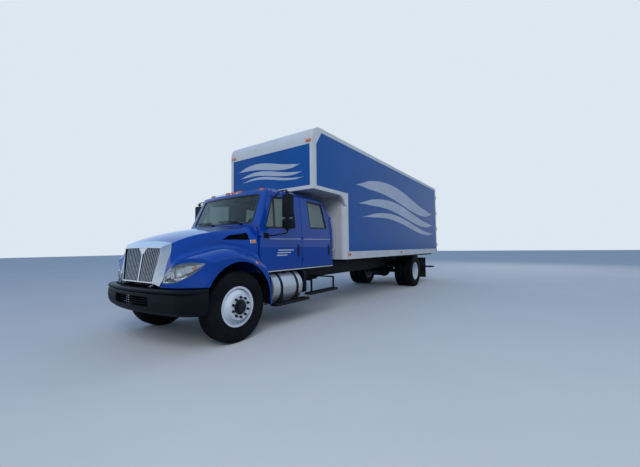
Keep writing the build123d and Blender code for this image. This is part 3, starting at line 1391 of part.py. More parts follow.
# Cargo doors: a leaf, lock rod, handle, hinge straps and knuckles, from the left leaf
leaf_outer = door_half - cargo_door_gap
leaf_rear = body_rear - cargo_door_recess
leaf_low = door_low
leaf_high = door_high
with BuildPart() as cargo_door:
    add(box_prism(3.0, leaf_outer, leaf_rear - cargo_door_thickness, leaf_rear, leaf_low, leaf_high))
    with BuildSketch(Plane.XY.offset(leaf_low + 5.0)):
        with Locations((160.0, body_rear + 1.0)):
            Circle(13.5)
    extrude(amount=leaf_high - leaf_low - 10.0)
    add(box_prism(120.0, 330.0, leaf_rear, body_rear + 12.0, 1860.0, 1890.0))
    for height in hinge_z:
        add(box_prism(leaf_outer - 260.0, hinge_place[0], body_rear + 2.0, body_rear + 10.0, height - 30.0,
                      height + 30.0))
        add(box_prism(leaf_outer - 260.0, leaf_outer - 6.0, leaf_rear, body_rear + 10.0, height - 30.0,
                      height + 30.0))
        with BuildSketch(Plane.XY.offset(height - cargo_hinge_height / 2)):
            with Locations(hinge_place):
                Circle(cargo_hinge_knuckle)
        extrude(amount=cargo_hinge_height)
        with BuildSketch(Plane.XY.offset(height - cargo_hinge_height / 2)):
            with Locations(hinge_place):
                Circle(cargo_hinge_pin + running_clearance)
        extrude(amount=cargo_hinge_height, mode=Mode.SUBTRACT)
finish(cargo_door.part, "cargo_door_left")
finish(mirror(cargo_door.part, about=Plane.YZ), "cargo_door_right")

# Mud flaps behind the rear wheels
with BuildPart() as mud_flaps:
    for side in (-1, 1):
        x_low = min(side * 600.0, side * flap_outer)
        add(box_prism(x_low, x_low + flap_outer - 600.0, from_axle(flap_place) + 12.0,
                      from_axle(flap_place) + 24.0,
                      210.0, flap_top))
finish(mud_flaps.part, "mud_flaps")

# Marker lamps: cab roof, nose corners, rails and rear
lamp_boxes = [(x, from_axle(y), 2430.0, 90.0, 60.0, 40.0) for x, y in
              ((-700.0, 905.0), (-170.0, 850.0), (0.0, 845.0), (170.0, 850.0), (700.0, 905.0))]
roof_lamps = []
for x, y, z, wide, deep, high in lamp_boxes:
    roof_lamps.append(box_prism(x - wide / 2, x + wide / 2, y - deep / 2, y + deep / 2, z,
                                z + high) - cab_outer)
with BuildPart() as marker_lamps:
    for lamp in roof_lamps:
        add(lamp)
    for side in (-1, 1):
        x_low = min(side * body_half_width, side * (body_half_width + 14.0))
        for place, height in ((3100.0, 1217.0), (6350.0, 1214.0), (10400.0, 1217.0)):
            add(box_prism(x_low, x_low + 14.0, from_axle(place), from_axle(place + 110.0), height - 25.0,
                          height + 25.0))
        x_low = min(side * (body_half_width - 169.0), side * (body_half_width - 49.0))
        add(box_prism(x_low, x_low + 120.0, attic_front - 14.0, attic_front, cap_low + 40.0, cap_low + 90.0))
        x_low = min(side * (body_half_width - 439.0), side * (body_half_width - 209.0))
        add(box_prism(x_low, x_low + 230.0, body_rear, body_rear + 20.0, body_floor_bottom + 15.0,
                      body_floor_bottom + 115.0))
finish(marker_lamps.part, "marker_lamps")
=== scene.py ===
import json
from math import atan2, ceil, cos, pi, radians, sin, sqrt

import bmesh
import bpy
from mathutils import Matrix, Vector
from mathutils.bvhtree import BVHTree


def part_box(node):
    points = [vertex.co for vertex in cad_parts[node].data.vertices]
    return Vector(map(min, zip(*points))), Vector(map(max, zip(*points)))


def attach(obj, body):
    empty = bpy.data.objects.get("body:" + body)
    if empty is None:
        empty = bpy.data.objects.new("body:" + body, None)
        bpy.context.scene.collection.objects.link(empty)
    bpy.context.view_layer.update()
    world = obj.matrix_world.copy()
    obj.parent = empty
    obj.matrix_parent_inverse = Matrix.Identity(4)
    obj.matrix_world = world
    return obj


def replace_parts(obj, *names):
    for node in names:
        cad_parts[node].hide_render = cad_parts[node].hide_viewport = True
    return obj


# A box truck in metres: front at -Y, driver's side at +X, ground at z = 0.

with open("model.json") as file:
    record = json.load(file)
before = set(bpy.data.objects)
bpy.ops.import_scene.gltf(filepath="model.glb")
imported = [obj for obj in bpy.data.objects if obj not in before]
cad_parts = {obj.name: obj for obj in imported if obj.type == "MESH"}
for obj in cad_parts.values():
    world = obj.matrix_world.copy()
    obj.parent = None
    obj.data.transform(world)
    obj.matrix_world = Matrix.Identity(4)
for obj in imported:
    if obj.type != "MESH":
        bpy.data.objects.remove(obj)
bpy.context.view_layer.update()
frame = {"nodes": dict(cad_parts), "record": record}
nodes = frame["nodes"]
sides = {1: "left", -1: "right"}

# The axles' places come from the frame
front_rim_low, front_rim_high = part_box("front_rim_left")
rear_rim_low, rear_rim_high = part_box("rear_rims_left")
front_axle_y = (front_rim_low[1] + front_rim_high[1]) / 2
rear_axle_y = (rear_rim_low[1] + rear_rim_high[1]) / 2
axle_z = (front_rim_low[2] + front_rim_high[2]) / 2


def aft(distance):
    """Place along the truck, counted rearwards from the front axle."""
    return front_axle_y + distance


def add_object(name, data):
    """New object in the scene."""
    item = bpy.data.objects.new(name, data)
    bpy.context.scene.collection.objects.link(item)
    return item


# Camera, at the photograph's viewing angle
photo_width = 640
sensor_width = 36.0
camera_focal_px = 313.7
camera_place = Vector((4.81, aft(-3.13), 1.38))
camera_yaw = radians(-35.07)
camera_pitch = radians(2.59)
camera_roll = radians(-0.72)


def add_camera():
    """Camera that looks along +Y, turned by its yaw, pitch and roll."""
    data = bpy.data.cameras.new("camera")
    data.sensor_fit = "HORIZONTAL"
    data.sensor_width = sensor_width
    data.lens = camera_focal_px / photo_width * sensor_width
    data.clip_end = 200.0
    camera = add_object("camera", data)
    turn = Matrix.Rotation(-camera_yaw, 4, "Z") @ Matrix.Rotation(pi / 2 + camera_pitch, 4, "X")
    turn = turn @ Matrix.Rotation(camera_roll, 4, "Z")
    camera.matrix_world = Matrix.Translation(camera_place) @ turn
    bpy.context.scene.camera = camera


add_camera()


# Materials, all from nodes
class Nodes:
    """A node tree, with helpers that add nodes and join them."""

    def __init__(self, tree):
        self.tree = tree

    def feed(self, socket, value):
        """Give a socket another node's output, a colour or a number."""
        if isinstance(value, bpy.types.NodeSocket):
            self.tree.links.new(value, socket)
        elif socket.type == "RGBA":
            socket.default_value = (*value, 1.0)
        else:
            socket.default_value = value

    def add(self, kind, *sources, **settings):
        """A node; sources feed its first sockets, and settings are its options or other sockets by name."""
        node = self.tree.nodes.new("ShaderNode" + kind)
        for key, value in settings.items():
            if hasattr(node, key):
                setattr(node, key, value)
            else:
                self.feed(node.inputs[key.replace("_", " ")], value)
        for socket, value in zip(node.inputs, sources):
            self.feed(socket, value)
        return node

    def math(self, operation, *values):
        """Math on outputs and numbers."""
        return self.add("Math", *values, operation=operation).outputs["Value"]

    def ramp(self, factor, *stops):
        """Colour ramp through stops of a place and a colour."""
        node = self.add("ValToRGB", factor)
        elements = node.color_ramp.elements
        for index, (place, colour) in enumerate(stops):
            element = elements[index] if index < 2 else elements.new(place)
            element.position = place
            element.color = (*colour, 1.0)
        return node.outputs["Color"]

    def drift(self, factor, first, second, end=0.7):
        """Colour that wanders between two."""
        return self.ramp(factor, (0.3, first), (end, second))

    def spread(self, factor, low, high, start=0.0, end=1.0):
        """A factor mapped from start and end to low and high."""
        return self.add("MapRange", factor, start, end, low, high).outputs["Result"]

    def blend(self, factor, first, second):
        """The second colour over the first."""
        node = self.add("Mix", factor, data_type="RGBA")
        self.feed(node.inputs[6], first)
        self.feed(node.inputs[7], second)
        return node.outputs[2]


materials = {}


class Shader(Nodes):
    """A node material that is made over the object's own place."""

    def __init__(self, name):
        self.material = bpy.data.materials.new(name)
        self.material.use_nodes = True
        super().__init__(self.material.node_tree)
        coordinates = self.add("TexCoord").outputs
        self.place = coordinates["Object"]
        self.axes = self.add("SeparateXYZ", self.place).outputs
        self.facing = self.add("SeparateXYZ", coordinates["Normal"]).outputs
        materials[name] = self.material

    def texture(self, kind, output, stretch=None, **settings):
        """Output of a texture over the object's place, which a stretch scales along each axis."""
        place = self.place
        if stretch is not None:
            place = self.add("Mapping", Vector=place, Scale=stretch).outputs["Vector"]
        return self.add("Tex" + kind, Vector=place, **settings).outputs[output]

    def noise(self, scale, detail=3.0, stretch=None):
        """Noise over the object's place."""
        return self.texture("Noise", "Fac", stretch, Scale=scale, Detail=detail)

    def within(self, axis, low, high):
        """1 where the object's place lies between two values of an axis."""
        return self.math("COMPARE", self.axes[axis], (low + high) / 2, (high - low) / 2)

    def aside(self, beyond):
        """1 where the place is further from the truck's middle than a distance."""
        return self.math("GREATER_THAN", self.math("ABSOLUTE", self.axes["X"]), beyond)

    def radial(self, y, z):
        """Distance from a wheel's axis."""
        along = self.math("SUBTRACT", self.axes["Y"], y)
        high = self.math("SUBTRACT", self.axes["Z"], z)
        squares = self.math("ADD", self.math("MULTIPLY", along, along), self.math("MULTIPLY", high, high))
        return self.math("SQRT", squares)

    def bump(self, height, strength, distance=0.002):
        """Relief from a height."""
        return self.add("Bump", Height=height, Strength=strength, Distance=distance).outputs["Normal"]

    def finish(self, colour, rough, **others):
        """Feed the surface's own sockets."""
        surface = self.tree.nodes["Principled BSDF"]
        for key, value in {"Base_Color": colour, "Roughness": rough, **others}.items():
            self.feed(surface.inputs[key.replace("_", " ")], value)


def shade(colour, factor):
    """A colour made lighter or darker."""
    return tuple(min(1.0, channel * factor) for channel in colour)


road_dust = (0.22, 0.21, 0.19)
fine_dust = (0.20, 0.185, 0.16)
grease_black = (0.022, 0.022, 0.024)
moulding_black = (0.006, 0.006, 0.007)


def paint(name, colour, rough=0.25, coat=1.0, peel=0.02, dust=0.02, mask=None, masked=(0.02, 0.02, 0.022)):
    """Glossy paint: colour drift, orange peel and a dusty foot; a mask can show another finish."""
    made = Shader(name)
    body = made.drift(made.noise(1.3, 4.0), shade(colour, 0.92), shade(colour, 1.06))
    foot = made.spread(made.axes["Z"], dust, 0.0, 0.45, 1.25)
    film = made.math("MULTIPLY", foot, made.spread(made.noise(2.2, 5.0, (1.0, 0.6, 1.4)), 0.4, 1.3))
    body = made.blend(film, body, road_dust)
    gloss = made.spread(made.noise(5.0, 5.0), rough * 0.85, rough * 1.2)
    if mask is not None:
        factor = mask(made)
        body = made.blend(factor, body, masked)
        gloss = made.math("ADD", gloss, made.math("MULTIPLY", factor, 0.2))
    made.finish(body, gloss, Normal=made.bump(made.noise(260.0, 2.0), peel), Coat_Weight=coat,
                Coat_Roughness=0.05, Specular_IOR_Level=0.2)


def liner_and_painted_shade(made):
    """1 on the inner faces of the hood and fenders, which are bare black moulding, and painted shade on faces
    turned downwards or rearwards.
    """
    inward = made.math("LESS_THAN", made.math("MULTIPLY", made.facing["X"], made.axes["X"]), -0.03)
    sideways = made.math("MULTIPLY", inward, made.math("LESS_THAN", made.facing["Z"], 0.5))
    below = made.math("LESS_THAN", made.facing["Z"], -0.3)
    behind = made.math("GREATER_THAN", made.facing["Y"], 0.7)
    past_axle = made.math("GREATER_THAN", made.axes["Y"], aft(0.30))
    tail = made.math("MULTIPLY", made.math("LESS_THAN", made.facing["Y"], -0.4), past_axle)
    return made.math("MAXIMUM", made.math("MAXIMUM", sideways, below), made.math("MAXIMUM", behind, tail))


# What stands out past these places is no longer the skin of a door or of the cab's side
door_skin_x = 0.9908
cab_skin_x = 0.9905


def door_fittings(made):
    """Mask of a door's pull and its vent divider."""
    along = made.within("Y", aft(0.917), aft(0.977))
    divider = made.math("MULTIPLY", along, made.within("Z", 1.745, 2.286))
    return made.math("MAXIMUM", made.aside(door_skin_x), divider)


def grab_fittings(made):
    """Mask of the grab handles behind the doors."""
    behind_doors = made.math("GREATER_THAN", made.axes["Y"], aft(2.70))
    return made.math("MULTIPLY", made.aside(cab_skin_x), behind_doors)


def wheel_paint(name, centre_y):
    """White wheel paint with a darker, oily hub and grime in the dish."""
    made = Shader(name)
    hub_radius = 0.111
    white = (0.74, 0.80, 0.88)
    drift = made.drift(made.noise(9.0, 5.0), shade(white, 0.88), white)
    reach = made.radial(centre_y, axle_z)
    ring = made.spread(reach, 0.35, 0.0, hub_radius, hub_radius + 0.05)
    grime = made.math("MULTIPLY", ring, made.spread(made.noise(16.0, 6.0), 0.3, 1.4))
    dish = made.blend(grime, drift, (0.10, 0.095, 0.09))
    made.finish(made.blend(made.math("LESS_THAN", reach, hub_radius), dish, grease_black),
                made.spread(made.noise(8.0, 4.0), 0.30, 0.46), Normal=made.bump(made.noise(180.0), 0.05),
                Coat_Weight=0.35, Coat_Roughness=0.12)


def metal(name, colour, rough, brushed=None, streak=0.12, grime=0.0, bare=1.0):
    """Metal with a grain, stretched where it is brushed, and grime; less bare is duller."""
    made = Shader(name)
    grain = made.noise(14.0, 5.0) if brushed is None else made.noise(38.0, 6.0, brushed)
    tone = made.drift(grain, shade(colour, 1.0 - streak), shade(colour, 1.0 + streak * 0.3))
    if grime > 0.0:
        patch = made.math("MULTIPLY", made.spread(made.noise(3.0, 6.0), 0.0, 1.0, 0.45, 0.75), grime)
        tone = made.blend(patch, tone, shade(colour, 0.35))
    gloss = made.spread(grain, rough * 0.75, rough * 1.3)
    made.finish(tone, gloss, Normal=made.bump(grain, 0.05), Metallic=bare)


def plastic(name, colour, rough, grain=180.0, relief=0.12, dust=0.0, shine=0.5):
    """Moulded plastic or rubber with a fine leathery grain and some dust."""
    made = Shader(name)
    tone = made.drift(made.noise(3.0, 5.0), shade(colour, 0.85), shade(colour, 1.2))
    if dust > 0.0:
        tone = made.blend(made.spread(made.noise(4.0, 6.0), 0.0, dust, 0.42, 0.8), tone, fine_dust)
    cells = made.texture("Voronoi", "Distance", Scale=grain)
    made.finish(tone, made.spread(made.noise(7.0, 4.0), rough * 0.85, min(1.0, rough * 1.15)),
                Normal=made.bump(cells, relief, 0.001), Specular_IOR_Level=shine)


def glass(name, low, high, rough=0.03, clear=1.0):
    """See-through glass with a faint drift in its tint."""
    made = Shader(name)
    made.finish(made.drift(made.noise(0.8), low, high), made.spread(made.noise(3.0), rough * 0.2, rough),
                Transmission_Weight=clear, IOR=1.4)


tail_start = 9.0


def lamp_lens(name):
    """Amber lens, red towards the rear, with fine prisms."""
    made = Shader(name)
    rear = made.math("GREATER_THAN", made.axes["Y"], aft(tail_start))
    tone = made.blend(rear, (0.80, 0.20, 0.015), (0.62, 0.012, 0.012))
    colour = made.blend(made.spread(made.noise(30.0, 2.0), 0.0, 0.25), tone, (0.30, 0.05, 0.01))
    waves = made.texture("Wave", "Fac", Scale=70.0)
    made.finish(colour, made.spread(made.noise(12.0), 0.12, 0.22), Normal=made.bump(waves, 0.25),
                Coat_Weight=0.8, Coat_Roughness=0.05)


def fabric(name, colour):
    """Woven seat cloth: a fine check of threads over a colour drift."""
    made = Shader(name)
    weave = made.texture("Voronoi", "Distance", (1.0, 1.0, 0.6), Scale=420.0)
    made.finish(made.drift(made.noise(5.0, 5.0), shade(colour, 0.75), shade(colour, 1.2)), 0.9,
                Normal=made.bump(weave, 0.4, 0.0015), Sheen_Weight=0.4)


boards_low = 1.2492


def planks(name, colour):
    """Worn floor boards that run along the truck, with joints and grain, over a dark frame."""
    made = Shader(name)
    boards = made.texture("Wave", "Fac", Scale=4.5, Distortion=0.0, bands_direction="X", wave_profile="SAW")
    grain = made.noise(24.0, 6.0, (6.0, 0.5, 6.0))
    tone = made.drift(grain, shade(colour, 0.6), shade(colour, 1.25), 0.72)
    wood = made.blend(made.math("GREATER_THAN", boards, 0.95), tone, (0.03, 0.02, 0.015))
    top = made.math("GREATER_THAN", made.axes["Z"], boards_low)
    made.finish(made.blend(top, (0.012, 0.012, 0.013), wood), made.spread(grain, 0.5, 0.75),
                Normal=made.bump(grain, 0.2))


blue = (0.0004, 0.056, 0.36)
silver = (0.50, 0.52, 0.55)
paint("blue_paint", blue)
# The hood takes black moulding on its inner faces, and the same black as painted shade on its downward and
# rearward faces
paint("hood_paint", blue, mask=liner_and_painted_shade, masked=moulding_black)
paint("door_paint", blue, mask=door_fittings)
paint("cab_paint", blue, mask=grab_fittings, masked=silver)
paint("blue_panel", (0.002, 0.092, 0.37), 0.36, coat=0.25, peel=0.05, dust=0.03)
paint("white_steel", (0.60, 0.63, 0.66), 0.38, coat=0.3, peel=0.03, dust=0.25)
paint("lamp_reflector", (0.80, 0.84, 0.88), 0.25, coat=0.6, peel=0.01, dust=0.0)
# Pale film for the stripes and ribbons; on the doors' belt strips it is a painted highlight
paint("pale_film", (0.50, 0.58, 0.69), 0.40, coat=0.2, peel=0.01, dust=0.0)
wheel_paint("front_wheel_paint", front_axle_y)
wheel_paint("rear_wheel_paint", rear_axle_y)
plastic("black_steel", moulding_black, 0.50, grain=90.0, relief=0.1, dust=0.08, shine=0.35)
plastic("black_plastic", (0.003, 0.0045, 0.007), 0.44, dust=0.01, shine=0.3)
plastic("black_gloss", (0.008, 0.008, 0.010), 0.22, grain=240.0, relief=0.03)
plastic("interior_plastic", (0.07, 0.07, 0.075), 0.62)
plastic("tyre_rubber", (0.004, 0.0045, 0.006), 0.72, grain=140.0, relief=0.2, dust=0.05, shine=0.25)
plastic("flap_rubber", (0.007, 0.007, 0.008), 0.7, grain=140.0, relief=0.2, dust=0.15)
plastic("engine_iron", (0.035, 0.036, 0.04), 0.6, grain=60.0, relief=0.2, dust=0.3)
plastic("blank_plate", (0.62, 0.63, 0.62), 0.4, grain=300.0, relief=0.03)
metal("chrome_trim", (0.80, 0.82, 0.86), 0.07, streak=0.06)
metal("tank_metal", (0.84, 0.86, 0.89), 0.32, (1.0, 60.0, 1.0), 0.14, grime=0.25, bare=0.7)
metal("pale_trim", (0.84, 0.85, 0.86), 0.46, (40.0, 1.0, 1.0), 0.08, grime=0.15, bare=0.35)
metal("roof_metal", (0.60, 0.62, 0.65), 0.42, (1.0, 30.0, 1.0), 0.15, grime=0.3)
metal("mirror_face", (0.75, 0.78, 0.80), 0.03, streak=0.02)
metal("nut_steel", (0.10, 0.10, 0.11), 0.45, streak=0.4, grime=0.5)
glass("tinted_glass", (0.42, 0.58, 0.60), (0.48, 0.64, 0.66))
glass("side_glass", (0.36, 0.45, 0.43), (0.42, 0.51, 0.49), 0.04, clear=0.62)
glass("lamp_glass", (0.86, 0.92, 0.97), (0.92, 0.96, 0.99), 0.02, clear=0.90)
lamp_lens("amber_lens")
fabric("seat_fabric", (0.075, 0.08, 0.09))
planks("floor_wood", (0.24, 0.15, 0.085))

# The CAD pieces' finishes: the record's, apart from those with a finer one here
finish_of = {row["node"]: row["material_slot"] for row in frame["record"]["subparts"]}
finish_of.update(hood="hood_paint", cab_frame="cab_paint", attic_floor="white_steel",
                 cargo_bulkhead="white_steel")
for side in sides:
    finish_of[f"front_rim_{sides[side]}"] = "front_wheel_paint"
    finish_of[f"rear_rims_{sides[side]}"] = "rear_wheel_paint"
    for door in ("front", "rear"):
        finish_of[f"door_{door}_{sides[side]}"] = "door_paint"
        finish_of[f"glass_{door}_{sides[side]}"] = "side_glass"
for node_name, node in nodes.items():
    node.data.materials.clear()
    node.data.materials.append(materials[finish_of[node_name]])


# Mesh helpers
def ways(path, loop):
    """Direction of a run at each of its points."""
    total = len(path)
    for index in range(total):
        ahead = path[(index + 1) % total] if loop else path[min(index + 1, total - 1)]
        behind = path[index - 1] if loop else path[max(index - 1, 0)]
        yield (ahead - behind).normalized()


class Form:
    """Points and faces of one piece, gathered from closed parts."""

    def __init__(self):
        self.points = []
        self.faces = []

    def rings(self, rings, loop=False):
        """Skin over rings of equally many points, capped unless the rings close into a loop."""
        first = len(self.points)
        count = len(rings[0])
        total = len(rings)
        for ring in rings:
            self.points += [tuple(point) for point in ring]
        for step in range(total if loop else total - 1):
            here = first + step * count
            there = first + (step + 1) % total * count
            for spot in range(count):
                after = (spot + 1) % count
                self.faces.append((here + spot, here + after, there + after, there + spot))
        if not loop:
            last = first + (total - 1) * count
            self.faces += [tuple(range(first, first + count)), tuple(range(last, last + count))]

    def box(self, near, far):
        """Block between two opposite corners."""
        corners = [(near[0], near[1]), (far[0], near[1]), (far[0], far[1]), (near[0], far[1])]
        self.rings([[(x, y, z) for x, y in corners] for z in (near[2], far[2])])

    def block(self, centre, size):
        """Block round its centre."""
        half = Vector(size) / 2
        self.box(Vector(centre) - half, Vector(centre) + half)

    def prism(self, outline, axis, low, high):
        """Outline of coordinate pairs across an axis (0, 1 or 2), between two places on it."""
        self.rings([[pair[:axis] + (place,) + pair[axis:] for pair in outline] for place in (low, high)])

    def spin(self, profile, origin, way, segments):
        """Closed profile of (along, radius) pairs turned about a direction."""
        way = Vector(way).normalized()
        side = way.orthogonal().normalized()
        across = way.cross(side)
        rings = []
        for step in range(segments):
            angle = 2 * pi * step / segments
            spoke = side * cos(angle) + across * sin(angle)
            rings.append([Vector(origin) + way * along + spoke * radius for along, radius in profile])
        self.rings(rings, loop=True)

    def studs(self, profile, spots, way, segments):
        """The same turned profile at several places."""
        for spot in spots:
            self.spin(profile, spot, way, segments)

    def tube(self, path, radius, corners=8):
        """Round tube along points."""
        path = [Vector(point) for point in path]
        rings = []
        side = None
        for point, way in zip(path, ways(path, False)):
            side = way.orthogonal() if side is None else side - way * side.dot(way)
            side.normalize()
            across = way.cross(side)
            angles = [2 * pi * k / corners for k in range(corners)]
            rings.append([point + side * (radius * cos(angle)) + across * (radius * sin(angle))
                          for angle in angles])
        self.rings(rings)

    def sweep(self, spots, section, loop=False):
        """Section of (aside, out) pairs along points, each with the normal that out follows."""
        path = [Vector(point) for point, _ in spots]
        rings = []
        for (point, normal), way in zip(spots, ways(path, loop)):
            out = Vector(normal).normalized()
            aside = way.cross(out).normalized()
            rings.append([Vector(point) + aside * across + out * proud for across, proud in section])
        self.rings(rings, loop=loop)


single_bodies = ("chassis", "hood_assembly")


def add_piece(name, data, body, kind):
    """Piece from mesh data, on a body and with a finish."""
    data.materials.append(materials[kind])
    piece = add_object(name, data)
    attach(piece, body)
    return piece


def make(form, name, kind, body="chassis", side=None, bevel=0.0, soft=35.0):
    """Piece from a form; a side is told in its name and in a paired body's.

    Bevel rounds its sharp edges, and edges that are bent less than soft are shaded smooth.
    """
    if side is not None:
        name = f"{name}_{sides[side]}"
        body = body if body in single_bodies else f"{sides[side]}_{body}"
    data = bpy.data.meshes.new(name)
    data.from_pydata(form.points, [], form.faces)
    mesh = bmesh.new()
    mesh.from_mesh(data)
    bmesh.ops.remove_doubles(mesh, verts=mesh.verts, dist=0.00002)
    bmesh.ops.recalc_face_normals(mesh, faces=mesh.faces)
    mesh.to_mesh(data)
    mesh.free()
    data.shade_smooth()
    data.set_sharp_from_angle(angle=radians(soft))
    piece = add_piece(name, data, body, kind)
    if bevel > 0.0:
        rounding = piece.modifiers.new("edges", "BEVEL")
        rounding.width = bevel
        rounding.segments = 2
        rounding.limit_method = "ANGLE"
        rounding.angle_limit = radians(40.0)
    return piece


def head(radius, shoulder, top_radius, height):
    """Profile of a bolt's head or a knob: its foot's radius, its shoulder and its height."""
    return [(0.0, 0.0), (0.0, radius), (shoulder, top_radius), (height, 0.0)]


def strip(half, low, top_half, high):
    """Section of a strip, with its foot's and top's half widths and heights over the skin."""
    return [(-half, low), (-top_half, high), (top_half, high), (half, low)]


def evenly(start, end, steps):
    """Numbers from start to end in even steps."""
    return [start + (end - start) * k / steps for k in range(steps + 1)]


def corner_curve(before, corner, after, reach, steps):
    """Points that round a corner, starting a reach before it and ending a reach after it."""
    start = corner + (before - corner).normalized() * reach
    end = corner + (after - corner).normalized() * reach
    for t in evenly(0.0, 1.0, steps):
        yield start * (1 - t) ** 2 + corner * (2 * t * (1 - t)) + end * t ** 2


def rounded(points, radius):
    """Closed outline of pairs with its corners rounded."""
    points = [Vector(point) for point in points]
    found = []
    for before, corner, after in zip(points[-1:] + points, points, points[1:] + points[:1]):
        found += [tuple(point) for point in corner_curve(before, corner, after, radius, 4)]
    return found


def oblong(low, high, radius):
    """Rounded rectangle between two corners of a plane."""
    return rounded([low, (high[0], low[1]), high, (low[0], high[1])], radius)


def filled(points, gap):
    """Closed outline with points put in between, so that no run is longer than a gap."""
    found = []
    for start, end in zip(points, points[1:] + points[:1]):
        start, end = Vector(start), Vector(end)
        parts = max(1, ceil((end - start).length / gap))
        found += [tuple(start.lerp(end, part / parts)) for part in range(parts)]
    return found


def bent(points, radius, steps=5):
    """Open run of points in space with its inner corners rounded."""
    points = [Vector(point) for point in points]
    found = [points[0]]
    for before, corner, after in zip(points, points[1:], points[2:]):
        reach = min(radius, (before - corner).length / 2.1, (after - corner).length / 2.1)
        found += corner_curve(before, corner, after, reach, steps)
    return found + [points[-1]]


skins = {}


def land(node_name, origin, way):
    """Where a ray first meets a node's surface, with the normal there that faces the ray."""
    if node_name not in skins:
        data = nodes[node_name].data
        corners = [vertex.co for vertex in data.vertices]
        skins[node_name] = BVHTree.FromPolygons(corners, [face.vertices for face in data.polygons])
    spot, normal, _, _ = skins[node_name].ray_cast(Vector(origin), Vector(way))
    if spot is not None and normal.dot(Vector(way)) > 0:
        normal = -normal
    return spot, normal


beside_truck = 1.5
ahead_of_truck = -1.2


def hood_side(along, z, side):
    """Place on the hood's outer side, and its normal."""
    return land("hood", (side * beside_truck, aft(along), z), (-side, 0, 0))


def lamp_front(x, z):
    """Place on a headlamp's front, and its normal."""
    return land("headlamps", (x, aft(ahead_of_truck), z), (0, 1, 0))


# Tyres: bulged side walls with ribs, and a tread of blocks between grooves
tyre_pitches = 60
tyre_half_width = 0.14
# Distance from the tyre's middle, radius, share of the cross grooves' depth there
tyre_half = [(0.112, 0.2990, 0), (0.119, 0.3005, 0), (0.124, 0.314, 0), (0.122, 0.322, 0), (0.131, 0.350, 0),
             (0.1345, 0.353, 0), (0.1375, 0.378, 0), (0.1395, 0.405, 0), (0.1395, 0.425, 0),
             (0.1385, 0.428, 0), (0.1370, 0.447, 0), (0.1385, 0.449, 0), (0.1350, 0.470, 0),
             (0.1290, 0.494, 0.5), (0.1215, 0.511, 1), (0.1120, 0.5195, 1), (0.1080, 0.5215, 1),
             (0.0790, 0.5235, 1), (0.0770, 0.5130, 0), (0.0690, 0.5130, 0), (0.0670, 0.5240, 1),
             (0.0330, 0.5249, 1), (0.0310, 0.5135, 0), (0.0230, 0.5135, 0), (0.0210, 0.5250, 1)]
# Places along one pitch of the tread, and the share of the groove's depth at each
tread_steps = ((0.0, 0.0), (0.62, 0.0), (0.70, 1.0), (0.92, 1.0))


def add_tyre(form, centre_x, centre_y, groove, skew):
    """One tyre: rings round the wheel, with the tread lowered at each cross groove."""
    profile = tyre_half + [(-along, radius, share) for along, radius, share in reversed(tyre_half)]
    rings = []
    for pitch in range(tyre_pitches):
        for place, depth in tread_steps:
            ring = []
            for along, radius, share in profile:
                turn = 2 * pi * (pitch + place + skew * abs(along) / 0.12) / tyre_pitches
                reach = radius - groove * depth * share
                ring.append((centre_x + along, centre_y + reach * cos(turn), axle_z + reach * sin(turn)))
            rings.append(ring)
    form.rings(rings, loop=True)


# CAD node, piece, body, number of tyres, the axle's place, and the cross grooves' depth and skew
tyre_rows = (("front_tyre", "front_tread", "front_wheel", 1, front_axle_y, 0.004, 0.3),
             ("rear_tyres", "rear_treads", "rear_wheels", 2, rear_axle_y, 0.011, 1.2))
for side in sides:
    for node_name, name, body, count, axle_y, groove, skew in tyre_rows:
        node_name = f"{node_name}_{sides[side]}"
        low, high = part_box(node_name)
        form = Form()
        for centre in (low[0] + tyre_half_width, high[0] - tyre_half_width)[:count]:
            add_tyre(form, centre, axle_y, groove, skew)
        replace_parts(make(form, name, "tyre_rubber", body, side, soft=28.0), node_name)

# Wheel nuts, hub caps with their screws, and brake drums
nut_count = 10
nut_circle = 0.1429
screw_circle = 0.066
# How far the rear discs' faces lie inside the outer tyres' middles, and the drums' behind those
rear_disc_depth = 0.1535
rear_drum_depth = 0.1495
nut_profile = [(0.0, 0.0), (0.0, 0.0225), (0.003, 0.0225), (0.003, 0.0175), (0.024, 0.0170), (0.030, 0.0125),
               (0.042, 0.0115), (0.044, 0.0095), (0.044, 0.0)]
front_hub = [(0.0, 0.0), (0.0, 0.104), (0.010, 0.100), (0.012, 0.078), (0.030, 0.073), (0.044, 0.066),
             (0.046, 0.030), (0.041, 0.026), (0.041, 0.0)]
rear_hub = [(0.0, 0.0), (0.0, 0.106), (0.106, 0.096), (0.112, 0.090), (0.150, 0.088), (0.158, 0.080),
            (0.160, 0.030), (0.166, 0.026), (0.166, 0.0)]
rear_face_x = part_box("rear_tyres_left")[1][0] - tyre_half_width - rear_disc_depth


def drum(shoulder, radius, length):
    """Profile of a brake drum: a cup with a thick rim round its mouth."""
    return [(0.0, 0.120), (0.0, shoulder), (0.010, radius), (length - 0.008, radius),
            (length, radius - 0.010), (length, radius - 0.030), (0.012, radius - 0.030), (0.012, 0.120)]


def on_circle(x, y, radius, count, turned=0.0):
    """Places on a circle round a wheel's axis."""
    angles = [2 * pi * (k + turned) / count for k in range(count)]
    return [(x, y + radius * cos(angle), axle_z + radius * sin(angle)) for angle in angles]


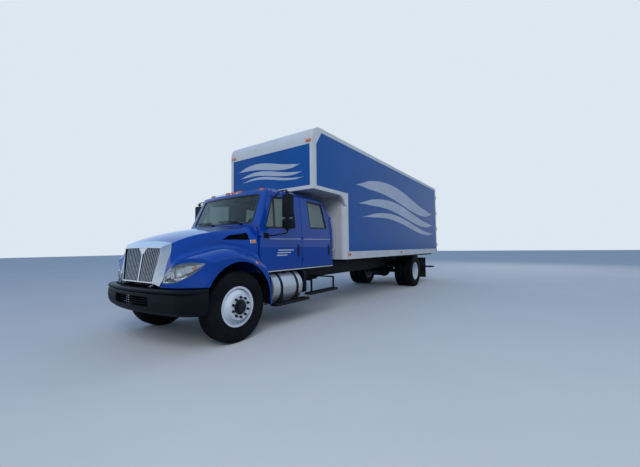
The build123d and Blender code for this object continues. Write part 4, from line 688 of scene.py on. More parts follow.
# Axle, body, the axle's place, where the face lies, and the profile on it
hubs = [("front", "front_wheel", front_axle_y, front_rim_high[0] - 0.0085, front_hub),
        ("rear", "rear_wheels", rear_axle_y, rear_face_x, rear_hub)]
drums = [("front", "front_wheel", front_axle_y, 0.872, drum(0.205, 0.215, 0.098)),
         ("rear", "rear_wheels", rear_axle_y, rear_face_x - rear_drum_depth, drum(0.210, 0.225, 0.118))]
for side in sides:
    way = (side, 0, 0)
    for axle, body, axle_y, face_x, hub in hubs:
        form = Form()
        form.studs(nut_profile, on_circle(side * face_x, axle_y, nut_circle, nut_count, 0.5), way, 6)
        form.spin(hub, (side * face_x, axle_y, axle_z), way, 40)
        screws = on_circle(side * (face_x + hub[2][0]), axle_y, screw_circle, 6)
        form.studs(head(0.0075, 0.006, 0.0070, 0.007), screws, way, 6)
        make(form, f"{axle}_nuts", "nut_steel", body, side, soft=30.0)
    for axle, body, axle_y, face_x, profile in drums:
        form = Form()
        form.spin(profile, (side * face_x, axle_y, axle_z), way, 48)
        make(form, f"{axle}_drum", "engine_iron", body, side)


# Hood scoops: a dark frame set into the skin, with slats
scoop_outline = [(-0.047, 1.522), (0.070, 1.592), (0.382, 1.640), (0.400, 1.622), (0.396, 1.538),
                 (0.380, 1.523)]
scoop_middle = Vector((0.22, 1.57))
# How far each ring of the frame is grown and sunk, and each slat's height and front end
scoop_rings = ((-0.009, 0.085), (-0.009, 0.004), (0.002, 0.002), (0.002, 0.095))
scoop_slats = ((1.546, 0.03), (1.570, 0.075), (1.594, 0.13), (1.617, 0.26))
scoop_rear = 0.388
slat_foot = 1.49


def scoop_ring(side, grow, sunk):
    """The scoop's outline, grown from its middle and set in from the hood's skin beside it."""
    ring = []
    for corner in filled(scoop_outline, 0.05):
        reach = Vector(corner) - scoop_middle
        for share in (1.0, 1.25, 1.5):
            probe = scoop_middle + reach + reach.normalized() * 0.012 * share
            spot, _ = hood_side(probe.x, probe.y, side)
            if spot is not None and abs(spot.x) > 0.7:
                break
        edge = scoop_middle + reach + reach.normalized() * grow
        ring.append((spot.x - side * sunk, aft(edge.x), edge.y))
    return ring


for side in sides:
    form = Form()
    form.rings([scoop_ring(side, grow, sunk) for grow, sunk in scoop_rings])
    for height, start in scoop_slats:
        rings = []
        for along in evenly(start, scoop_rear, 8):
            skin_x = hood_side(along, slat_foot, side)[0].x
            inner = skin_x - side * 0.075
            outer = skin_x - side * (0.022 + 0.42 * (height - slat_foot))
            rings.append([(x, aft(along), height - drop) for x, drop in
                          ((inner, 0.0), (outer, 0.010), (outer, 0.014), (inner, 0.004))])
        form.rings(rings)
    make(form, "hood_scoop", "black_plastic", "hood_assembly", side)


# Headlamps: a clear lens over a bright housing, with round reflectors and an amber bulb near the tip
lens_wall = 0.003
housing_wall = 0.0015


def lamp_faces(name, wanted, thickness, kind):
    """Part of the headlamp's own surface, chosen by its faces' normals, given a thickness inwards."""
    mesh = bmesh.new()
    mesh.from_mesh(nodes["headlamps"].data)
    bmesh.ops.remove_doubles(mesh, verts=mesh.verts, dist=0.00001)
    mesh.normal_update()
    bmesh.ops.delete(mesh, geom=[face for face in mesh.faces if not wanted(face.normal)], context="FACES")
    data = bpy.data.meshes.new(name)
    mesh.to_mesh(data)
    mesh.free()
    data.shade_smooth()
    data.set_sharp_from_angle(angle=radians(40.0))
    piece = add_piece(name, data, "hood_assembly", kind)
    wall = piece.modifiers.new("wall", "SOLIDIFY")
    wall.thickness = thickness
    wall.offset = -1.0
    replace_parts(piece, "headlamps")


lamp_faces("headlamp_lenses", lambda normal: normal.y < -0.02, lens_wall, "lamp_glass")
lamp_faces("headlamp_housings", lambda normal: normal.y > -0.02, housing_wall, "lamp_reflector")


def arc_points(start, middle, end, steps):
    """Points along the circle through three points of a plane, without the last one."""
    start, middle, end = Vector(start), Vector(middle), Vector(end)
    near, far = middle - start, end - start
    across = Vector((far.y * near.length_squared - near.y * far.length_squared,
                     near.x * far.length_squared - far.x * near.length_squared))
    centre = start + across / (2 * (near.x * far.y - near.y * far.x))
    first, half, last = [atan2(point.y - centre.y, point.x - centre.x) for point in (start, middle, end)]
    turn = (half - first + pi) % (2 * pi) + (last - half + pi) % (2 * pi) - 2 * pi
    angles = [first + turn * k / steps for k in range(steps)]
    return [centre + (start - centre).length * Vector((cos(angle), sin(angle))) for angle in angles]


lamp_inner, lamp_crown, lamp_tip, lamp_keel = (0.598, 0.938), (0.765, 1.124), (1.143, 1.184), (0.968, 1.002)
lamp_outline = arc_points(lamp_inner, lamp_crown, lamp_tip, 26)
lamp_outline += arc_points(lamp_tip, lamp_keel, lamp_inner, 26)
lamp_middle = Vector((0.87, 1.06))


def lamp_rim(point, side):
    """Place on the lamp's front just within a point of its outline, and its normal."""
    for step in range(9):
        place = lamp_middle.lerp(point, 0.985 - 0.01 * step)
        found = lamp_front(side * place.x, place.y)
        if found[0] is not None:
            return found


def bowl(radius):
    """Profile of a round reflector behind the lens."""
    return [(-0.006, radius), (-0.009, radius - 0.004), (-0.016, radius * 0.80), (-0.027, radius * 0.5),
            (-0.035, 0.012), (-0.0385, 0.012), (-0.031, radius * 0.56), (-0.019, radius * 0.87),
            (-0.012, radius + 0.001)]


for side in sides:
    form = Form()
    rim = [lamp_rim(point, side) for point in lamp_outline]
    form.sweep(rim, strip(0.0055, -0.004, 0.0045, 0.0015), loop=True)
    make(form, "headlamp_bezel", "chrome_trim", "hood_assembly", side)
    bowls, bulbs = Form(), Form()
    for x, z, radius in ((0.770, 1.028, 0.060), (0.905, 1.062, 0.056)):
        spot, normal = lamp_front(side * x, z)
        bowls.spin(bowl(radius), spot, normal, 36)
        bulbs.spin([(-0.036, 0.0), (-0.036, 0.011), (-0.020, 0.010), (-0.014, 0.006), (-0.012, 0.0)],
                   spot, normal, 16)
    make(bowls, "headlamp_bowls", "lamp_reflector", "hood_assembly", side)
    make(bulbs, "headlamp_bulbs", "lamp_glass", "hood_assembly", side)
    form = Form()
    form.spin([(-0.040, 0.0), (-0.040, 0.020), (-0.016, 0.019), (-0.009, 0.012), (-0.007, 0.0)],
              *lamp_front(side * 1.035, 1.118), 20)
    make(form, "turn_bulb", "amber_lens", "hood_assembly", side)
    form = Form()
    path = []
    for z in evenly(0.985, 1.110, 6):
        spot, normal = lamp_front(side * (0.832 + 0.10 * (z - 1.045)), z)
        path.append(spot - normal * 0.010)
    form.tube(path, 0.005)
    make(form, "headlamp_rib", "black_gloss", "hood_assembly", side)


# Bumper intake with slats and upright ribs, and bolts
bumper_front = -1.030
bumper_bow = 8.2
intake_z = 0.682


def bumper_y(x, behind=0.0):
    """Place of the bumper's bowed front, or of what lies behind it."""
    return aft(bumper_front + behind + x * x / bumper_bow)


form = Form()
for height in (intake_z - 0.032, intake_z, intake_z + 0.032):
    form.sweep([((x, bumper_y(x, 0.055), height), (0, 0, 1)) for x in evenly(-0.5, 0.5, 20)],
               [(-0.014, -0.005), (0.014, -0.008), (0.014, -0.003), (-0.014, 0.002)])
for count in range(-7, 8):
    x = count * 0.064
    form.block((x, bumper_y(x, 0.073), intake_z), (0.006, 0.014, 0.136))
make(form, "bumper_intake", "black_plastic")
form = Form()
for x in (-0.60, -0.90, 0.60, 0.90):
    form.spin([(-0.012, 0.0), (-0.012, 0.013), (0.002, 0.013), (0.006, 0.009), (0.007, 0.0)],
              (x, bumper_y(x, 0.004), intake_z), (x * 0.25, -1, 0), 12)
make(form, "bumper_bolts", "black_steel")

# Grille: a dark plate with fine wires behind the bars, on the leaning opening
opening_place = Vector((0.0, aft(-0.917), 0.933))
opening_rake = radians(8.5)
opening_up = Vector((0.0, sin(opening_rake), cos(opening_rake)))
opening_ahead = Vector((0.0, -cos(opening_rake), sin(opening_rake)))
opening_height = 0.478
screen_rows = [(0.0, 0.440), (0.10, 0.458), (0.26, 0.492), (0.38, 0.515), (opening_height, 0.522)]


def on_opening(across, up, ahead):
    """Place counted on the grille's leaning opening."""
    return opening_place + Vector((across, 0, 0)) + opening_up * up + opening_ahead * ahead


form = Form()
outline = [(half, up) for up, half in screen_rows] + [(-half, up) for up, half in reversed(screen_rows)]
form.rings([[on_opening(across, up, ahead) for across, up in outline] for ahead in (-0.052, -0.058)])
for count in range(1, 24):
    up = opening_height * count / 24
    form.rings([[on_opening(across, up + a, -0.052 + b) for a, b in ((-0.002, 0), (0.002, 0), (0.0, 0.004))]
                for across in (-0.44, 0.44)])
make(form, "grille_screen", "black_gloss", "hood_assembly")


# Cab skin: height and half width of its sides
cab_widths = [(0.970, 0.985), (1.400, 0.990), (1.790, 0.985), (2.050, 0.960), (2.400, 0.915), (2.480, 0.780)]
# Height, half width of the front arc, its middle and its ends, and the cab's rear
cab_fronts = [(1.400, 0.978, 0.540, 0.560, 2.840), (1.790, 0.973, 0.470, 0.560, 2.835),
              (2.050, 0.915, 0.580, 0.665, 2.790), (2.400, 0.870, 0.735, 0.815, 2.500)]
skin_step = 0.004


def between(rows, z):
    """Row of numbers interpolated at a height."""
    for low, high in zip(rows, rows[1:]):
        if z <= high[0] or high is rows[-1]:
            share = (z - low[0]) / (high[0] - low[0])
            return [a + (b - a) * share for a, b in zip(low[1:], high[1:])]


def cab_side(along, z, side):
    """Point on the cab's side skin and its outward normal."""
    x = between(cab_widths, z)[0]
    lean = (between(cab_widths, z + 0.005)[0] - between(cab_widths, z - 0.005)[0]) / 0.01
    return Vector((side * x, aft(along), z)), Vector((side, 0, -lean)).normalized()


def front_depth(x, z):
    """How far back the cab's front skin lies at a place."""
    half, middle, ends, _ = between(cab_fronts, z)
    rise = ends - middle
    radius = (half * half + rise * rise) / (2 * rise)
    return middle + radius - sqrt(max(0.0, radius * radius - x * x))


def cab_front(x, z):
    """Point on the cab's front skin and its outward normal."""
    across = (front_depth(x + skin_step, z) - front_depth(x - skin_step, z)) / (2 * skin_step)
    up = (front_depth(x, z + skin_step) - front_depth(x, z - skin_step)) / (2 * skin_step)
    return Vector((x, aft(front_depth(x, z)), z)), Vector((across, -1.0, up)).normalized()


def cab_back(x, z):
    """Point on the cab's back skin and its outward normal."""
    up = (between(cab_fronts, z + skin_step)[3] - between(cab_fronts, z - skin_step)[3]) / (2 * skin_step)
    return Vector((x, aft(between(cab_fronts, z)[3]), z)), Vector((0, 1.0, -up)).normalized()


# Windows: rubbers from the sunk glass up over the skin's edge
def rubber(name, body, side, spots, sunk, wide):
    """Rubber round a window, along places with their normals."""
    centre = sum((spot for spot, _ in spots), Vector()) / len(spots)
    aside = (spots[1][0] - spots[0][0]).cross(spots[0][1])
    if aside.dot(spots[0][0] - centre) < 0:
        spots.reverse()
    section = [(-wide, 0.001 - sunk), (-wide * 0.8, 0.004 - sunk), (-wide * 0.3, 0.0025), (0.004, 0.004),
               (0.010, 0.0035), (0.012, 0.0003), (0.0005, 0.0003), (0.0005, 0.001 - sunk)]
    form = Form()
    form.sweep(spots, section, loop=True)
    make(form, name, "black_gloss", body, side)


door_windows = {"front": [(0.690, 1.735), (1.500, 1.760), (1.470, 2.345), (0.930, 2.290)],
                "rear": [(1.970, 1.778), (2.560, 1.795), (2.440, 2.310), (1.940, 2.330)]}
# Window, the skin it lies on, and the height and half width of its foot and of its top
end_windows = (("windscreen", cab_front, 1.815, 0.830, 2.340, 0.780),
               ("back_window", cab_back, 1.800, 0.720, 2.200, 0.680))
side_glass_sunk = 0.024
end_glass_sunk = 0.008
for side in sides:
    for door, outline in door_windows.items():
        spots = [cab_side(along, z, side) for along, z in filled(rounded(outline, 0.035), 0.06)]
        rubber(f"window_rubber_{door}", f"{door}_door", side, spots, side_glass_sunk, 0.020)
for name, skin, foot, foot_half, top, top_half in end_windows:
    outline = [(-foot_half, foot), (foot_half, foot), (top_half, top), (-top_half, top)]
    spots = [skin(x, z) for x, z in filled(rounded(outline, 0.060), 0.06)]
    rubber(f"{name}_rubber", "chassis", None, spots, end_glass_sunk, 0.028)

# Wipers parked along the foot of the windscreen: where each pivots, and its blade's ends
wiper_rows = ((0.60, 0.02, 0.52), (-0.12, -0.70, -0.20))
form = Form()
for pivot_x, start, end in wiper_rows:
    blade = []
    for x, z in zip(evenly(start, end, 8), evenly(1.862, 1.850, 8)):
        spot, normal = cab_front(x, z)
        blade.append((spot + normal * 0.014, normal))
    form.sweep(blade, strip(0.003, -0.013, 0.008, 0.006))
    foot, foot_normal = cab_front(pivot_x, 1.800)
    arm = [foot + foot_normal * 0.004, foot + foot_normal * 0.030]
    middle_x = (start + end) / 2
    for x, z, lift in ((pivot_x * 0.7 + middle_x * 0.3, 1.822, 0.032), (middle_x, 1.856, 0.022)):
        spot, normal = cab_front(x, z)
        arm.append(spot + normal * lift)
    form.tube(bent(arm, 0.03), 0.007)
    form.spin(head(0.022, 0.026, 0.018, 0.032), foot, foot_normal, 20)
make(form, "wipers", "black_plastic")

# Belt line along the doors: where it starts, its height there, and how it climbs rearwards
belt_start = 0.92
belt_z = 1.544
belt_slope = 0.018 / 1.81
# Door, ends of its belt strip, which paints the crease's highlight, and place of its pull
doors = (("front", 0.80, 1.655, 1.585), ("rear", 1.745, 2.69, 2.640))
pull_x = 1.0035
lock_x = 0.9885


def add_door_trim(side, door, start, end, pull):
    """Pale strip along a door's belt crease, a painted highlight, and its pull lever with the lock under it.
    """
    form = Form()
    alongs = evenly(start, end, 12)
    spots = [cab_side(along, belt_z + (along - belt_start) * belt_slope, side) for along in alongs]
    form.sweep(spots, [(-0.007, -0.002), (-0.006, 0.003), (0.0, 0.0045), (0.006, 0.003), (0.007, -0.002)])
    # The raised strip marks the real crease, and its pale colour is a painted highlight
    make(form, f"belt_moulding_{door}", "pale_film", f"{door}_door", side)
    form = Form()
    outline = oblong((aft(pull - 0.011), 1.262), (aft(pull + 0.011), 1.418), 0.009)
    form.prism(outline, 0, side * pull_x, side * (pull_x + 0.005))
    form.spin(head(0.011, 0.005, 0.010, 0.006), (side * lock_x, aft(pull), 1.190), (side, 0, 0), 20)
    make(form, f"door_pull_{door}", "nut_steel", f"{door}_door", side, bevel=0.0015)


def add_cab_trim(side):
    """Door stripes and sill trim."""
    form = Form()
    for z, start, end in ((1.345, 1.02, 1.44), (1.300, 1.00, 1.36), (1.255, 0.98, 1.26)):
        form.sweep([cab_side(along, z, side) for along in evenly(start, end, 8)],
                   strip(0.011, -0.0005, 0.011, 0.0008))
    make(form, "door_stripes", "pale_film", "front_door", side)
    form = Form()
    form.box((side * 0.983, aft(0.70), 0.9715), (side * 0.9905, aft(2.79), 0.9885))
    make(form, "sill_trim", "pale_trim", side=side, bevel=0.002)


# Piece, finish, half its length and height, and where it starts and ends over the skin
marker_parts = (("marker_bezel", "pale_trim", 0.055, 0.027, -0.004, 0.008),
                ("side_marker", "amber_lens", 0.046, 0.019, 0.0, 0.015))


def add_markers(side):
    """Side marker on its bezel, and the reflector at the fender's tail."""
    spot, normal = hood_side(0.462, 1.494, side)
    along_skin = (Vector((0, 1, 0)) - normal * normal.y).normalized()
    upward = normal.cross(along_skin)
    for name, kind, half_long, half_high, low, high in marker_parts:
        outline = oblong((-half_long, -half_high), (half_long, half_high), 0.012)
        form = Form()
        form.rings([[spot + along_skin * a + upward * b + normal * lift for a, b in outline]
                    for lift in (low, high)])
        make(form, name, kind, "hood_assembly", side, bevel=0.003)
    form = Form()
    form.spin([(-0.004, 0.0), (-0.004, 0.026), (0.004, 0.026), (0.0075, 0.018), (0.0085, 0.0)],
              *hood_side(0.317, 1.160, side), 24)
    make(form, "fender_reflector", "amber_lens", "hood_assembly", side)


def add_mirror_parts(side):
    """Mirror glasses on the rear of each head, clamps on the arm and bolts at its feet."""
    glass_x, glass_y = side * 1.277, aft(0.980)
    form = Form()
    for centre_z, half in ((2.110, 0.184), (1.800, 0.069)):
        outline = oblong((glass_x - 0.088, centre_z - half), (glass_x + 0.088, centre_z + half), 0.028)
        form.prism(outline, 1, glass_y - 0.002, glass_y + 0.003)
    make(form, "mirror_glasses", "mirror_face", "front_door", side, bevel=0.001)
    form = Form()
    for height in (2.345, 1.955, 1.895, 1.700):
        form.block((side * 1.262, aft(0.950), height), (0.038, 0.068, 0.032))
    spots = [(side * 0.997, aft(along), z) for along in (0.690, 0.750) for z in (1.575, 1.625)]
    form.studs(head(0.008, 0.004, 0.007, 0.005), spots, (side, 0, 0), 10)
    make(form, "mirror_clamps", "black_plastic", "front_door", side, bevel=0.003)


for side in sides:
    for row in doors:
        add_door_trim(side, *row)
    add_cab_trim(side)
    add_markers(side)
    add_mirror_parts(side)

# Fuel tank: its cap with grips, its seams and the straps' bolts
tank_x, tank_z, tank_radius = 0.760, 0.670, 0.290
cap_way = Vector((0.42, 0.0, 0.91)).normalized()
cap_foot = Vector((tank_x, aft(1.26), tank_z)) + cap_way * tank_radius
form = Form()
form.spin([(-0.02, 0.0), (-0.02, 0.052), (0.014, 0.052), (0.016, 0.058), (0.040, 0.058), (0.045, 0.052),
           (0.045, 0.0)], cap_foot, cap_way, 36)
for quarter in range(4):
    grip = Matrix.Rotation(quarter * pi / 2, 4, cap_way) @ cap_way.orthogonal().normalized()
    form.tube([cap_foot + cap_way * 0.046, cap_foot + cap_way * 0.046 + grip * 0.046], 0.006)
make(form, "tank_cap", "black_gloss")
end_seam = [(-0.0015, 0.262), (-0.0015, 0.255), (0.0015, 0.255), (0.0015, 0.262)]
wall_seam = [(-0.004, tank_radius - 0.001), (-0.002, tank_radius + 0.0025), (0.002, tank_radius + 0.0025),
             (0.004, tank_radius - 0.001)]
form = Form()
for seam, places, segments in ((end_seam, (0.8425, 1.6375), 48), (wall_seam, (0.905, 1.575), 72)):
    form.studs(seam, [(tank_x, aft(place), tank_z) for place in places], (0, 1, 0), segments)
make(form, "tank_seams", "tank_metal")
form = Form()
for place in (1.040, 1.470):
    for angle in (0.30, 0.0):
        form.block((tank_x + 0.292 * cos(angle) + 0.005, aft(place), tank_z + 0.292 * sin(angle)),
                   (0.014, 0.024, 0.04))
make(form, "strap_bolts", "nut_steel", bevel=0.002)

# Step treads: rows of raised diamonds, slanted by turns, on boards with a start, an end and a top
step_boards = ((0.830, 1.790, 0.430), (1.800, 2.830, 0.500))
step_edge_x = 1.078
diamond_pitch = 0.034


def add_treads(form, side, start, end, top):
    """The diamonds of one board."""
    for row in range(int((end - start - 0.14) / diamond_pitch)):
        for column in range(4):
            x = side * (step_edge_x - diamond_pitch * (column + (row % 2) / 2))
            y = aft(start + 0.075 + row * diamond_pitch)
            slant = 0.006 if (row + column) % 2 else -0.006
            form.prism([(x - 0.010, y - slant), (x, y - 0.003), (x + 0.010, y + slant), (x, y + 0.003)], 2,
                       top - 0.001, top + 0.0022)


form = Form()
for side in sides:
    for board in step_boards:
        add_treads(form, side, *board)
make(form, "step_treads", "nut_steel")

# Lid of the battery box, with its two catches
form = Form()
form.box((-0.938, aft(0.832), 0.905), (-0.425, aft(1.508), 0.936))
for place in (0.95, 1.38):
    form.box((-0.941, aft(place), 0.850), (-0.929, aft(place + 0.05), 0.925))
make(form, "battery_lid", "black_plastic", bevel=0.006)

# Air tanks beside the right rail with their bands, and guards ahead of and behind the fuel tank
air_radius, air_x, air_z = 0.105, -0.60, 0.790
air_tank = [(0.0, 0.0), (0.012, air_radius * 0.6), (0.05, air_radius * 0.96), (0.09, air_radius),
            (0.66, air_radius), (0.70, air_radius * 0.96), (0.738, air_radius * 0.6), (0.75, 0.0)]
air_band = [(0.0, air_radius + 0.004), (0.04, air_radius + 0.004), (0.04, air_radius - 0.001),
            (0.0, air_radius - 0.001)]
form = Form()
for start in (5.30, 6.25):
    form.spin(air_tank, (air_x, aft(start), air_z), (0, 1, 0), 36)
    for place in (start + 0.16, start + 0.56):
        form.spin(air_band, (air_x, aft(place), air_z), (0, 1, 0), 36)
        form.box((-0.50, aft(place), 0.785), (-0.430, aft(place + 0.04), 0.900))
make(form, "air_tanks", "black_steel")
form = Form()
form.prism(rounded([(0.50, 0.45), (1.04, 0.45), (1.04, 0.90), (0.50, 0.95)], 0.06), 1, aft(0.775), aft(0.790))
form.prism(oblong((0.46, 0.52), (1.02, 0.93), 0.05), 1, aft(1.70), aft(1.79))
make(form, "tank_shields", "black_plastic", bevel=0.006)

# Rails: bolt heads, U-bolts over the springs, and clamps of the body's sills
rail_x = 0.4315
form = Form()
for side in (-1, 1):
    places = [place for place in evenly(-0.70, 10.22, 65) if side < 0 or not 0.84 < place < 1.70]
    spots = [(side * rail_x, aft(place), z) for place in places for z in (0.745, 0.920)]
    form.studs(head(0.013, 0.008, 0.012, 0.010), spots, (side, 0, 0), 6)
    for middle, top in ((0.0, 0.600), (rear_axle_y - front_axle_y, 0.735)):
        for y in (aft(middle - 0.055), aft(middle + 0.055)):
            for x in (side * 0.452, side * 0.534):
                form.tube([(x, y, 0.44), (x, y, top)], 0.009)
                form.spin(head(0.016, 0.016, 0.015, 0.016), (x, y, 0.425), (0, 0, 1), 6)
    for count in range(6):
        place = 3.25 + count * 1.28
        form.box((side * 0.431, aft(place), 0.870), (side * 0.441, aft(place + 0.07), 1.060))
make(form, "frame_bolts", "black_steel")

# Brakes: chambers ahead of the rear axle, a hose to each, and lines along the frame
chamber = [(0.0, 0.0), (0.0, 0.060), (0.02, 0.078), (0.06, 0.082), (0.07, 0.088), (0.08, 0.082),
           (0.13, 0.075), (0.15, 0.055), (0.15, 0.0)]
form = Form()
form.studs(chamber, [(x, aft(7.735), 0.60) for x in (-0.36, 0.36)], (0.0, -1.0, 0.15), 28)
make(form, "brake_chambers", "black_steel")
form = Form()
hose = [(0.25, aft(6.9), 0.75), (0.28, aft(7.2), 0.70), (0.33, aft(7.5), 0.62), (0.36, aft(7.60), 0.60)]
for side in (-1, 1):
    form.tube(bent([(side * x, y, z) for x, y, z in hose], 0.12, 8), 0.008)
for x, end in ((0.30, 6.9), (0.33, 10.2)):
    form.tube([(x, aft(2.0), 0.84), (x, aft(end), 0.84)], 0.009)
make(form, "brake_lines", "black_plastic")


# Cargo body: rivets along its edges
wall_x = 1.215
rail_face_x = 1.219
corner_x = 1.155
body_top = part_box("cargo_frame")[1][2]
floor_low = 1.108
attic_low = 2.545
attic_y = 1.776
bulkhead_y = 2.990
rear_y = 10.562
rivet = [(-0.001, 0.0), (-0.001, 0.0075), (0.0018, 0.0060), (0.0030, 0.0030), (0.0033, 0.0)]


def spaced(start, end, pitch):
    """Places between two ends, about a pitch apart."""
    return evenly(start, end, max(1, round((end - start) / pitch)))


attic_rows = spaced(attic_low + 0.12, body_top - 0.40, 0.12)
for side in sides:
    form = Form()
    long_row = spaced(bulkhead_y + 0.16, rear_y - 0.04, 0.15)
    spots = [(y, z) for z in (floor_low + 0.158, floor_low + 0.020) for y in long_row]
    spots += [(y, body_top - 0.075) for y in spaced(attic_y + 0.34, rear_y - 0.04, 0.15)]
    spots += [(y, attic_low + 0.058) for y in spaced(attic_y + 0.03, bulkhead_y + 0.02, 0.12)]
    spots += [(attic_y + 0.100, z) for z in attic_rows]
    spots += [(bulkhead_y + 0.126, z) for z in spaced(floor_low + 0.22, attic_low + 0.02, 0.12)]
    post_row = spaced(floor_low + 0.22, body_top - 0.14, 0.15)
    spots += [(y, z) for y in (rear_y - 0.105, rear_y - 0.020) for z in post_row]
    form.studs(rivet, [(side * rail_face_x, aft(y), z) for y, z in spots], (side, 0, 0), 7)
    form.studs(rivet, [(side * corner_x, aft(attic_y), z) for z in attic_rows], (0, -1, 0), 7)
    make(form, "body_rivets", "pale_trim", side=side, soft=60.0)
form = Form()
for z in (attic_low + 0.058, body_top - 0.345):
    form.studs(rivet, [(x, aft(attic_y), z) for x in spaced(-1.10, 1.10, 0.12)], (0, -1, 0), 7)
form.studs(rivet, [(x, aft(rear_y), body_top - 0.165) for x in spaced(-1.06, 1.06, 0.14)], (0, 1, 0), 7)
make(form, "end_rivets", "pale_trim", soft=60.0)


# A generic design of flowing pale ribbons on the walls and the attic's front
def ribbon(start, end, middle, width, swing, count=56):
    """Closed outline of a ribbon that swells and swings between two pointed ends."""
    upper, lower = [], []
    for share in evenly(0.0, 1.0, count):
        along = start + (end - start) * share
        high = middle + swing * sin(2 * pi * (share * 0.80 + 0.04))
        half = width * (0.25 + 0.75 * sin(pi * share)) * min(1.0, share * 9, (1 - share) * 9)
        upper.append((along, high + half))
        lower.append((along, high - half))
    return upper + lower[-2:0:-1]


# Start, end, height and half width of each ribbon
wall_ribbons = [(3.50, 9.95, 2.84, 0.215), (3.62, 10.05, 2.40, 0.155), (3.80, 10.12, 2.07, 0.095)]
attic_ribbons = [(-0.96, 0.90, 3.14, 0.075), (-0.90, 0.96, 2.98, 0.050), (-0.84, 1.00, 2.87, 0.030)]
for side in sides:
    form = Form()
    for row in wall_ribbons:
        outline = [(aft(along), z) for along, z in ribbon(*row, 0.20)]
        form.prism(outline, 0, side * (wall_x - 0.0005), side * (wall_x + 0.0012))
    make(form, "wall_ribbons", "pale_film", side=side)
form = Form()
for row in attic_ribbons:
    form.prism(ribbon(*row, 0.07, 40), 1, aft(attic_y + 0.0045), aft(attic_y + 0.0028))
make(form, "attic_ribbons", "pale_film")

# Rear doors: rubber seals, rod guides, handle catches and hinge bolts
leaf_y = aft(rear_y - 0.012)
for side in sides:
    form = Form()
    outline = oblong((0.016, 1.264), (1.085, 3.612), 0.02)
    form.sweep([((side * x, leaf_y, z), (0, 1, 0)) for x, z in filled(outline, 0.2)],
               strip(0.008, -0.003, 0.006, 0.005), loop=True)
    make(form, "door_seal", "black_plastic", "cargo_door", side)
    form = Form()
    for z in (1.42, 2.10, 2.75, 3.40):
        form.block((side * 0.160, leaf_y + 0.014, z), (0.060, 0.030, 0.044))
    form.box((side * 0.300, leaf_y - 0.001, 1.850), (side * 0.380, leaf_y + 0.022, 1.900))
    for z in (1.453, 2.110, 2.766, 3.423):
        spots = [(side * x, aft(rear_y + 0.010), z) for x in (0.90, 0.96, 1.02)]
        form.studs(head(0.009, 0.005, 0.008, 0.006), spots, (0, 1, 0), 8)
    make(form, "door_fittings", "tank_metal", "cargo_door", side, bevel=0.002)

# Rear end: a blank plate on its holder, grips on the step, and the mud flaps' hangers
form = Form()
form.box((-0.80, aft(rear_y - 0.002), 1.135), (-0.46, aft(rear_y + 0.008), 1.235))
make(form, "plate_holder", "black_plastic", bevel=0.003)
form = Form()
form.prism(oblong((-0.785, 1.140), (-0.475, 1.230), 0.012), 1, aft(rear_y + 0.0075), aft(rear_y + 0.0095))
make(form, "blank_plate", "blank_plate")
form = Form()
for x in (-0.9, -0.6, -0.3, 0.0, 0.3, 0.6, 0.9):
    for place in (10.44, 10.50, 10.56):
        form.box((x - 0.10, aft(place), 0.559), (x + 0.10, aft(place + 0.012), 0.5635))
make(form, "rear_step_grips", "nut_steel", bevel=0.002)
form = Form()
for side in (-1, 1):
    spots = [(side * (0.66 + count * 0.12), aft(9.014), 0.905) for count in range(5)]
    form.studs(head(0.012, 0.007, 0.011, 0.009), spots, (0, 1, 0), 8)
    form.box((side * 0.60, aft(9.013), 0.885), (side * 1.19, aft(9.018), 0.925))
make(form, "flap_hangers", "tank_metal", bevel=0.001)


# Seats: padded cushions, backs and head rests on posts and plastic bases
def cushion(name, centre, size, lean, seams=()):
    """Padded block with crowned faces, pulled-in sides and sewn channels, leaning back by an angle."""
    mesh = bmesh.new()
    bmesh.ops.create_cube(mesh, size=2.0)
    bmesh.ops.subdivide_edges(mesh, edges=mesh.edges, cuts=15, use_grid_fill=True)
    turn = Matrix.Rotation(radians(lean), 4, "X")
    for vertex in mesh.verts:
        u, v, w = vertex.co
        pinch = 1.0 - 0.07 * (u * u * v * v + v * v * w * w + u * u * w * w)
        x = u * pinch * (1.0 - 0.02 * (1.0 - v * v))
        y = v * pinch * (1.0 - 0.02 * (1.0 - u * u))
        z = w * pinch
        if w > 0.0:
            z += 0.22 * (1.0 - u * u) * (1.0 - v * v) * w
            for seam in seams:
                z -= 0.13 * w * max(0.0, 1.0 - abs(u - seam) / 0.09)
        vertex.co = turn @ Vector((x * size[0] / 2, y * size[1] / 2, z * size[2] / 2)) + Vector(centre)
    bmesh.ops.recalc_face_normals(mesh, faces=mesh.faces)
    data = bpy.data.meshes.new(name)
    mesh.to_mesh(data)
    mesh.free()
    data.shade_smooth()
    piece = add_piece(name, data, "chassis", "seat_fabric")
    soft = piece.modifiers.new("soft", "SUBSURF")
    soft.levels = 1
    soft.render_levels = 1
    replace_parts(piece, "seats")


back_lean = 74.0
# Seat, middle, front edge, width, seams' shares and head rests' places
seat_rows = [("driver", 0.43, 1.18, 0.50, (-0.5, 0.5), (0.43,)),
             ("passenger", -0.43, 1.18, 0.50, (-0.5, 0.5), (-0.43,)),
             ("bench", 0.0, 2.15, 1.50, (-0.66, -0.33, 0.0, 0.33, 0.66), (-0.45, 0.45))]
rest_size = (0.26, 0.12, 0.09)
form = Form()
for name, x, front, width, seams, head_rests in seat_rows:
    cushion(f"seat_cushion_{name}", (x, aft(front + 0.235), 1.345), (width - 0.02, 0.46, 0.13), 4.0, seams)
    cushion(f"seat_back_{name}", (x, aft(front + 0.475), 1.675), (width - 0.02, 0.56, 0.11), back_lean, seams)
    for count, rest_x in enumerate(head_rests):
        rest_place = Vector((rest_x, aft(front + 0.565), 1.995))
        cushion(f"head_rest_{name}_{count}", rest_place, rest_size, back_lean)
        for x_shift in (-0.06, 0.06):
            ends = [rest_place + Vector((x_shift, *shift)) for shift in ((-0.03, -0.095), (0.0, -0.005))]
            form.tube(ends, 0.006)
    half = width / 2 - 0.06
    form.box((x - half, aft(front + 0.06), 1.040), (x + half, aft(front + 0.44), 1.285))
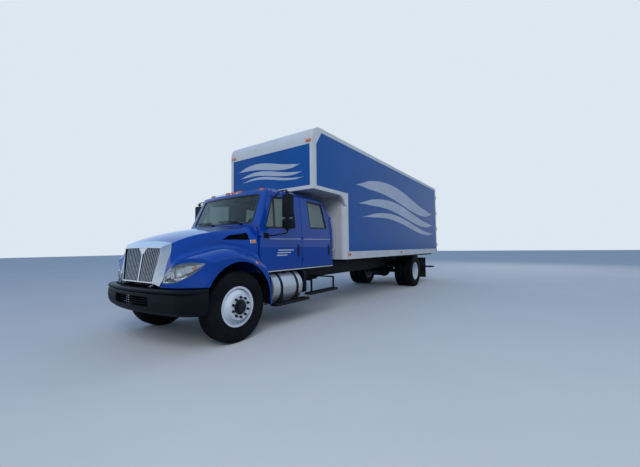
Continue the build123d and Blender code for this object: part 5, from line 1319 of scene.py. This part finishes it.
make(form, "seat_bases", "interior_plastic", bevel=0.015)

# Dashboard: a hood over the dials, vents with slats, and a centre panel with knobs
dash_face = 0.898
dials_x = 0.43
form = Form()
outline = [(-0.20, 1.55), (0.20, 1.55), (0.20, 1.71), (0.12, 1.745), (-0.12, 1.745), (-0.20, 1.71)]
form.prism([(dials_x + a, z) for a, z in outline], 1, aft(0.88), aft(0.78))
for x in (-0.10, 0.10, 0.78, -0.78, -0.55):
    form.box((x - 0.06, aft(dash_face), 1.545), (x + 0.06, aft(0.910), 1.610))
    for slat in range(4):
        z = 1.552 + slat * 0.014
        form.box((x - 0.055, aft(0.909), z), (x + 0.055, aft(0.916), z + 0.004))
form.box((-0.16, aft(dash_face), 1.42), (0.16, aft(0.912), 1.53))
make(form, "dash_panels", "black_plastic", bevel=0.003)
form = Form()
for x, z, radius in ((dials_x - 0.08, 1.67, 0.055), (dials_x + 0.08, 1.67, 0.055), (dials_x, 1.62, 0.025)):
    form.spin([(0.0, radius), (0.008, radius), (0.008, radius - 0.004), (0.002, radius - 0.005), (0.002, 0.0),
               (0.0, 0.0)], (x, aft(0.879), z), (0, 1, 0), 32)
knobs = [(x, aft(0.911), 1.455) for x in (-0.10, 0.0, 0.10)]
form.studs(head(0.018, 0.016, 0.015, 0.018), knobs, (0, 1, 0), 20)
make(form, "dash_dials", "nut_steel")


# Stage: a pale floor and soft lamps
def add_floor():
    """Wide pale floor under the truck, less bright to the lamps' bounce than to the camera."""
    data = bpy.data.meshes.new("floor")
    reach = 90.0
    data.from_pydata([(-reach, -reach, 0), (reach, -reach, 0), (reach, reach, 0), (-reach, reach, 0)], [],
                     [(0, 1, 2, 3)])
    made = Shader("floor_finish")
    pale = made.drift(made.noise(0.4, 4.0), (0.66, 0.67, 0.68), (0.70, 0.71, 0.72))
    seen = made.add("LightPath").outputs["Is Camera Ray"]
    made.finish(made.blend(seen, (0.26, 0.28, 0.31), pale), 0.85)
    data.materials.append(made.material)
    add_object("floor", data)


def add_lamp(name, place, target, size, power, tint):
    """Soft square lamp that faces a point."""
    data = bpy.data.lights.new(name, "AREA")
    data.shape = "SQUARE"
    data.size = size
    data.energy = power
    data.color = tint
    lamp = add_object(name, data)
    way = Vector(target) - Vector(place)
    lamp.visible_glossy = False
    lamp.matrix_world = Matrix.Translation(place) @ way.to_track_quat("-Z", "Y").to_matrix().to_4x4()


# Places on the way up from the ground, with the light's colour at each
sky_stops = ((0.0, (0.22, 0.23, 0.25)), (0.24, (0.30, 0.32, 0.34)), (0.265, (0.66, 0.76, 0.88)),
             (0.45, (0.50, 0.68, 0.92)), (1.0, (0.30, 0.48, 0.80)))


def add_world():
    """Pale surroundings for the camera and glass, and a sky that darkens upwards for light and gloss."""
    world = bpy.data.worlds.new("world")
    bpy.context.scene.world = world
    world.use_nodes = True
    made = Nodes(world.node_tree)
    way = made.add("TexCoord").outputs["Generated"]
    height = made.add("SeparateXYZ", way).outputs["Z"]
    sky = made.ramp(made.spread(height, 0.0, 1.0, -0.3, 0.9), *sky_stops)
    # Gloss sees a dimmer sky ahead of the truck and on the driver's side than behind it
    rearwards = made.add("VectorMath", way, (-0.86, 0.50, 0.0), operation="DOT_PRODUCT")
    dimmed = made.spread(rearwards.outputs["Value"], 0.35, 1.1, -0.6, 0.9)
    soft = world.node_tree.nodes["Background"]
    made.feed(soft.inputs["Color"], sky)
    made.feed(soft.inputs["Strength"], 0.62)
    gloss = made.add("Background", sky, dimmed)
    pale = made.add("Background", (0.72, 0.80, 0.88), 1.0)
    path = made.add("LightPath").outputs
    lit = made.add("MixShader", path["Is Glossy Ray"], soft.outputs[0], gloss.outputs[0])
    clear = made.math("MAXIMUM", path["Is Camera Ray"], path["Is Transmission Ray"])
    seen = made.add("MixShader", clear, lit.outputs[0], pale.outputs[0])
    made.feed(world.node_tree.nodes["World Output"].inputs["Surface"], seen.outputs[0])


add_floor()
add_world()
add_lamp("key", (9.0, -13.0, 10.0), (0.0, -1.0, 1.2), 9.0, 1050.0, (1.0, 0.98, 0.95))
add_lamp("rim", (4.0, 17.0, 11.0), (0.0, 2.0, 1.5), 9.0, 450.0, (1.0, 0.95, 0.88))
bpy.context.scene.view_settings.view_transform = "Standard"
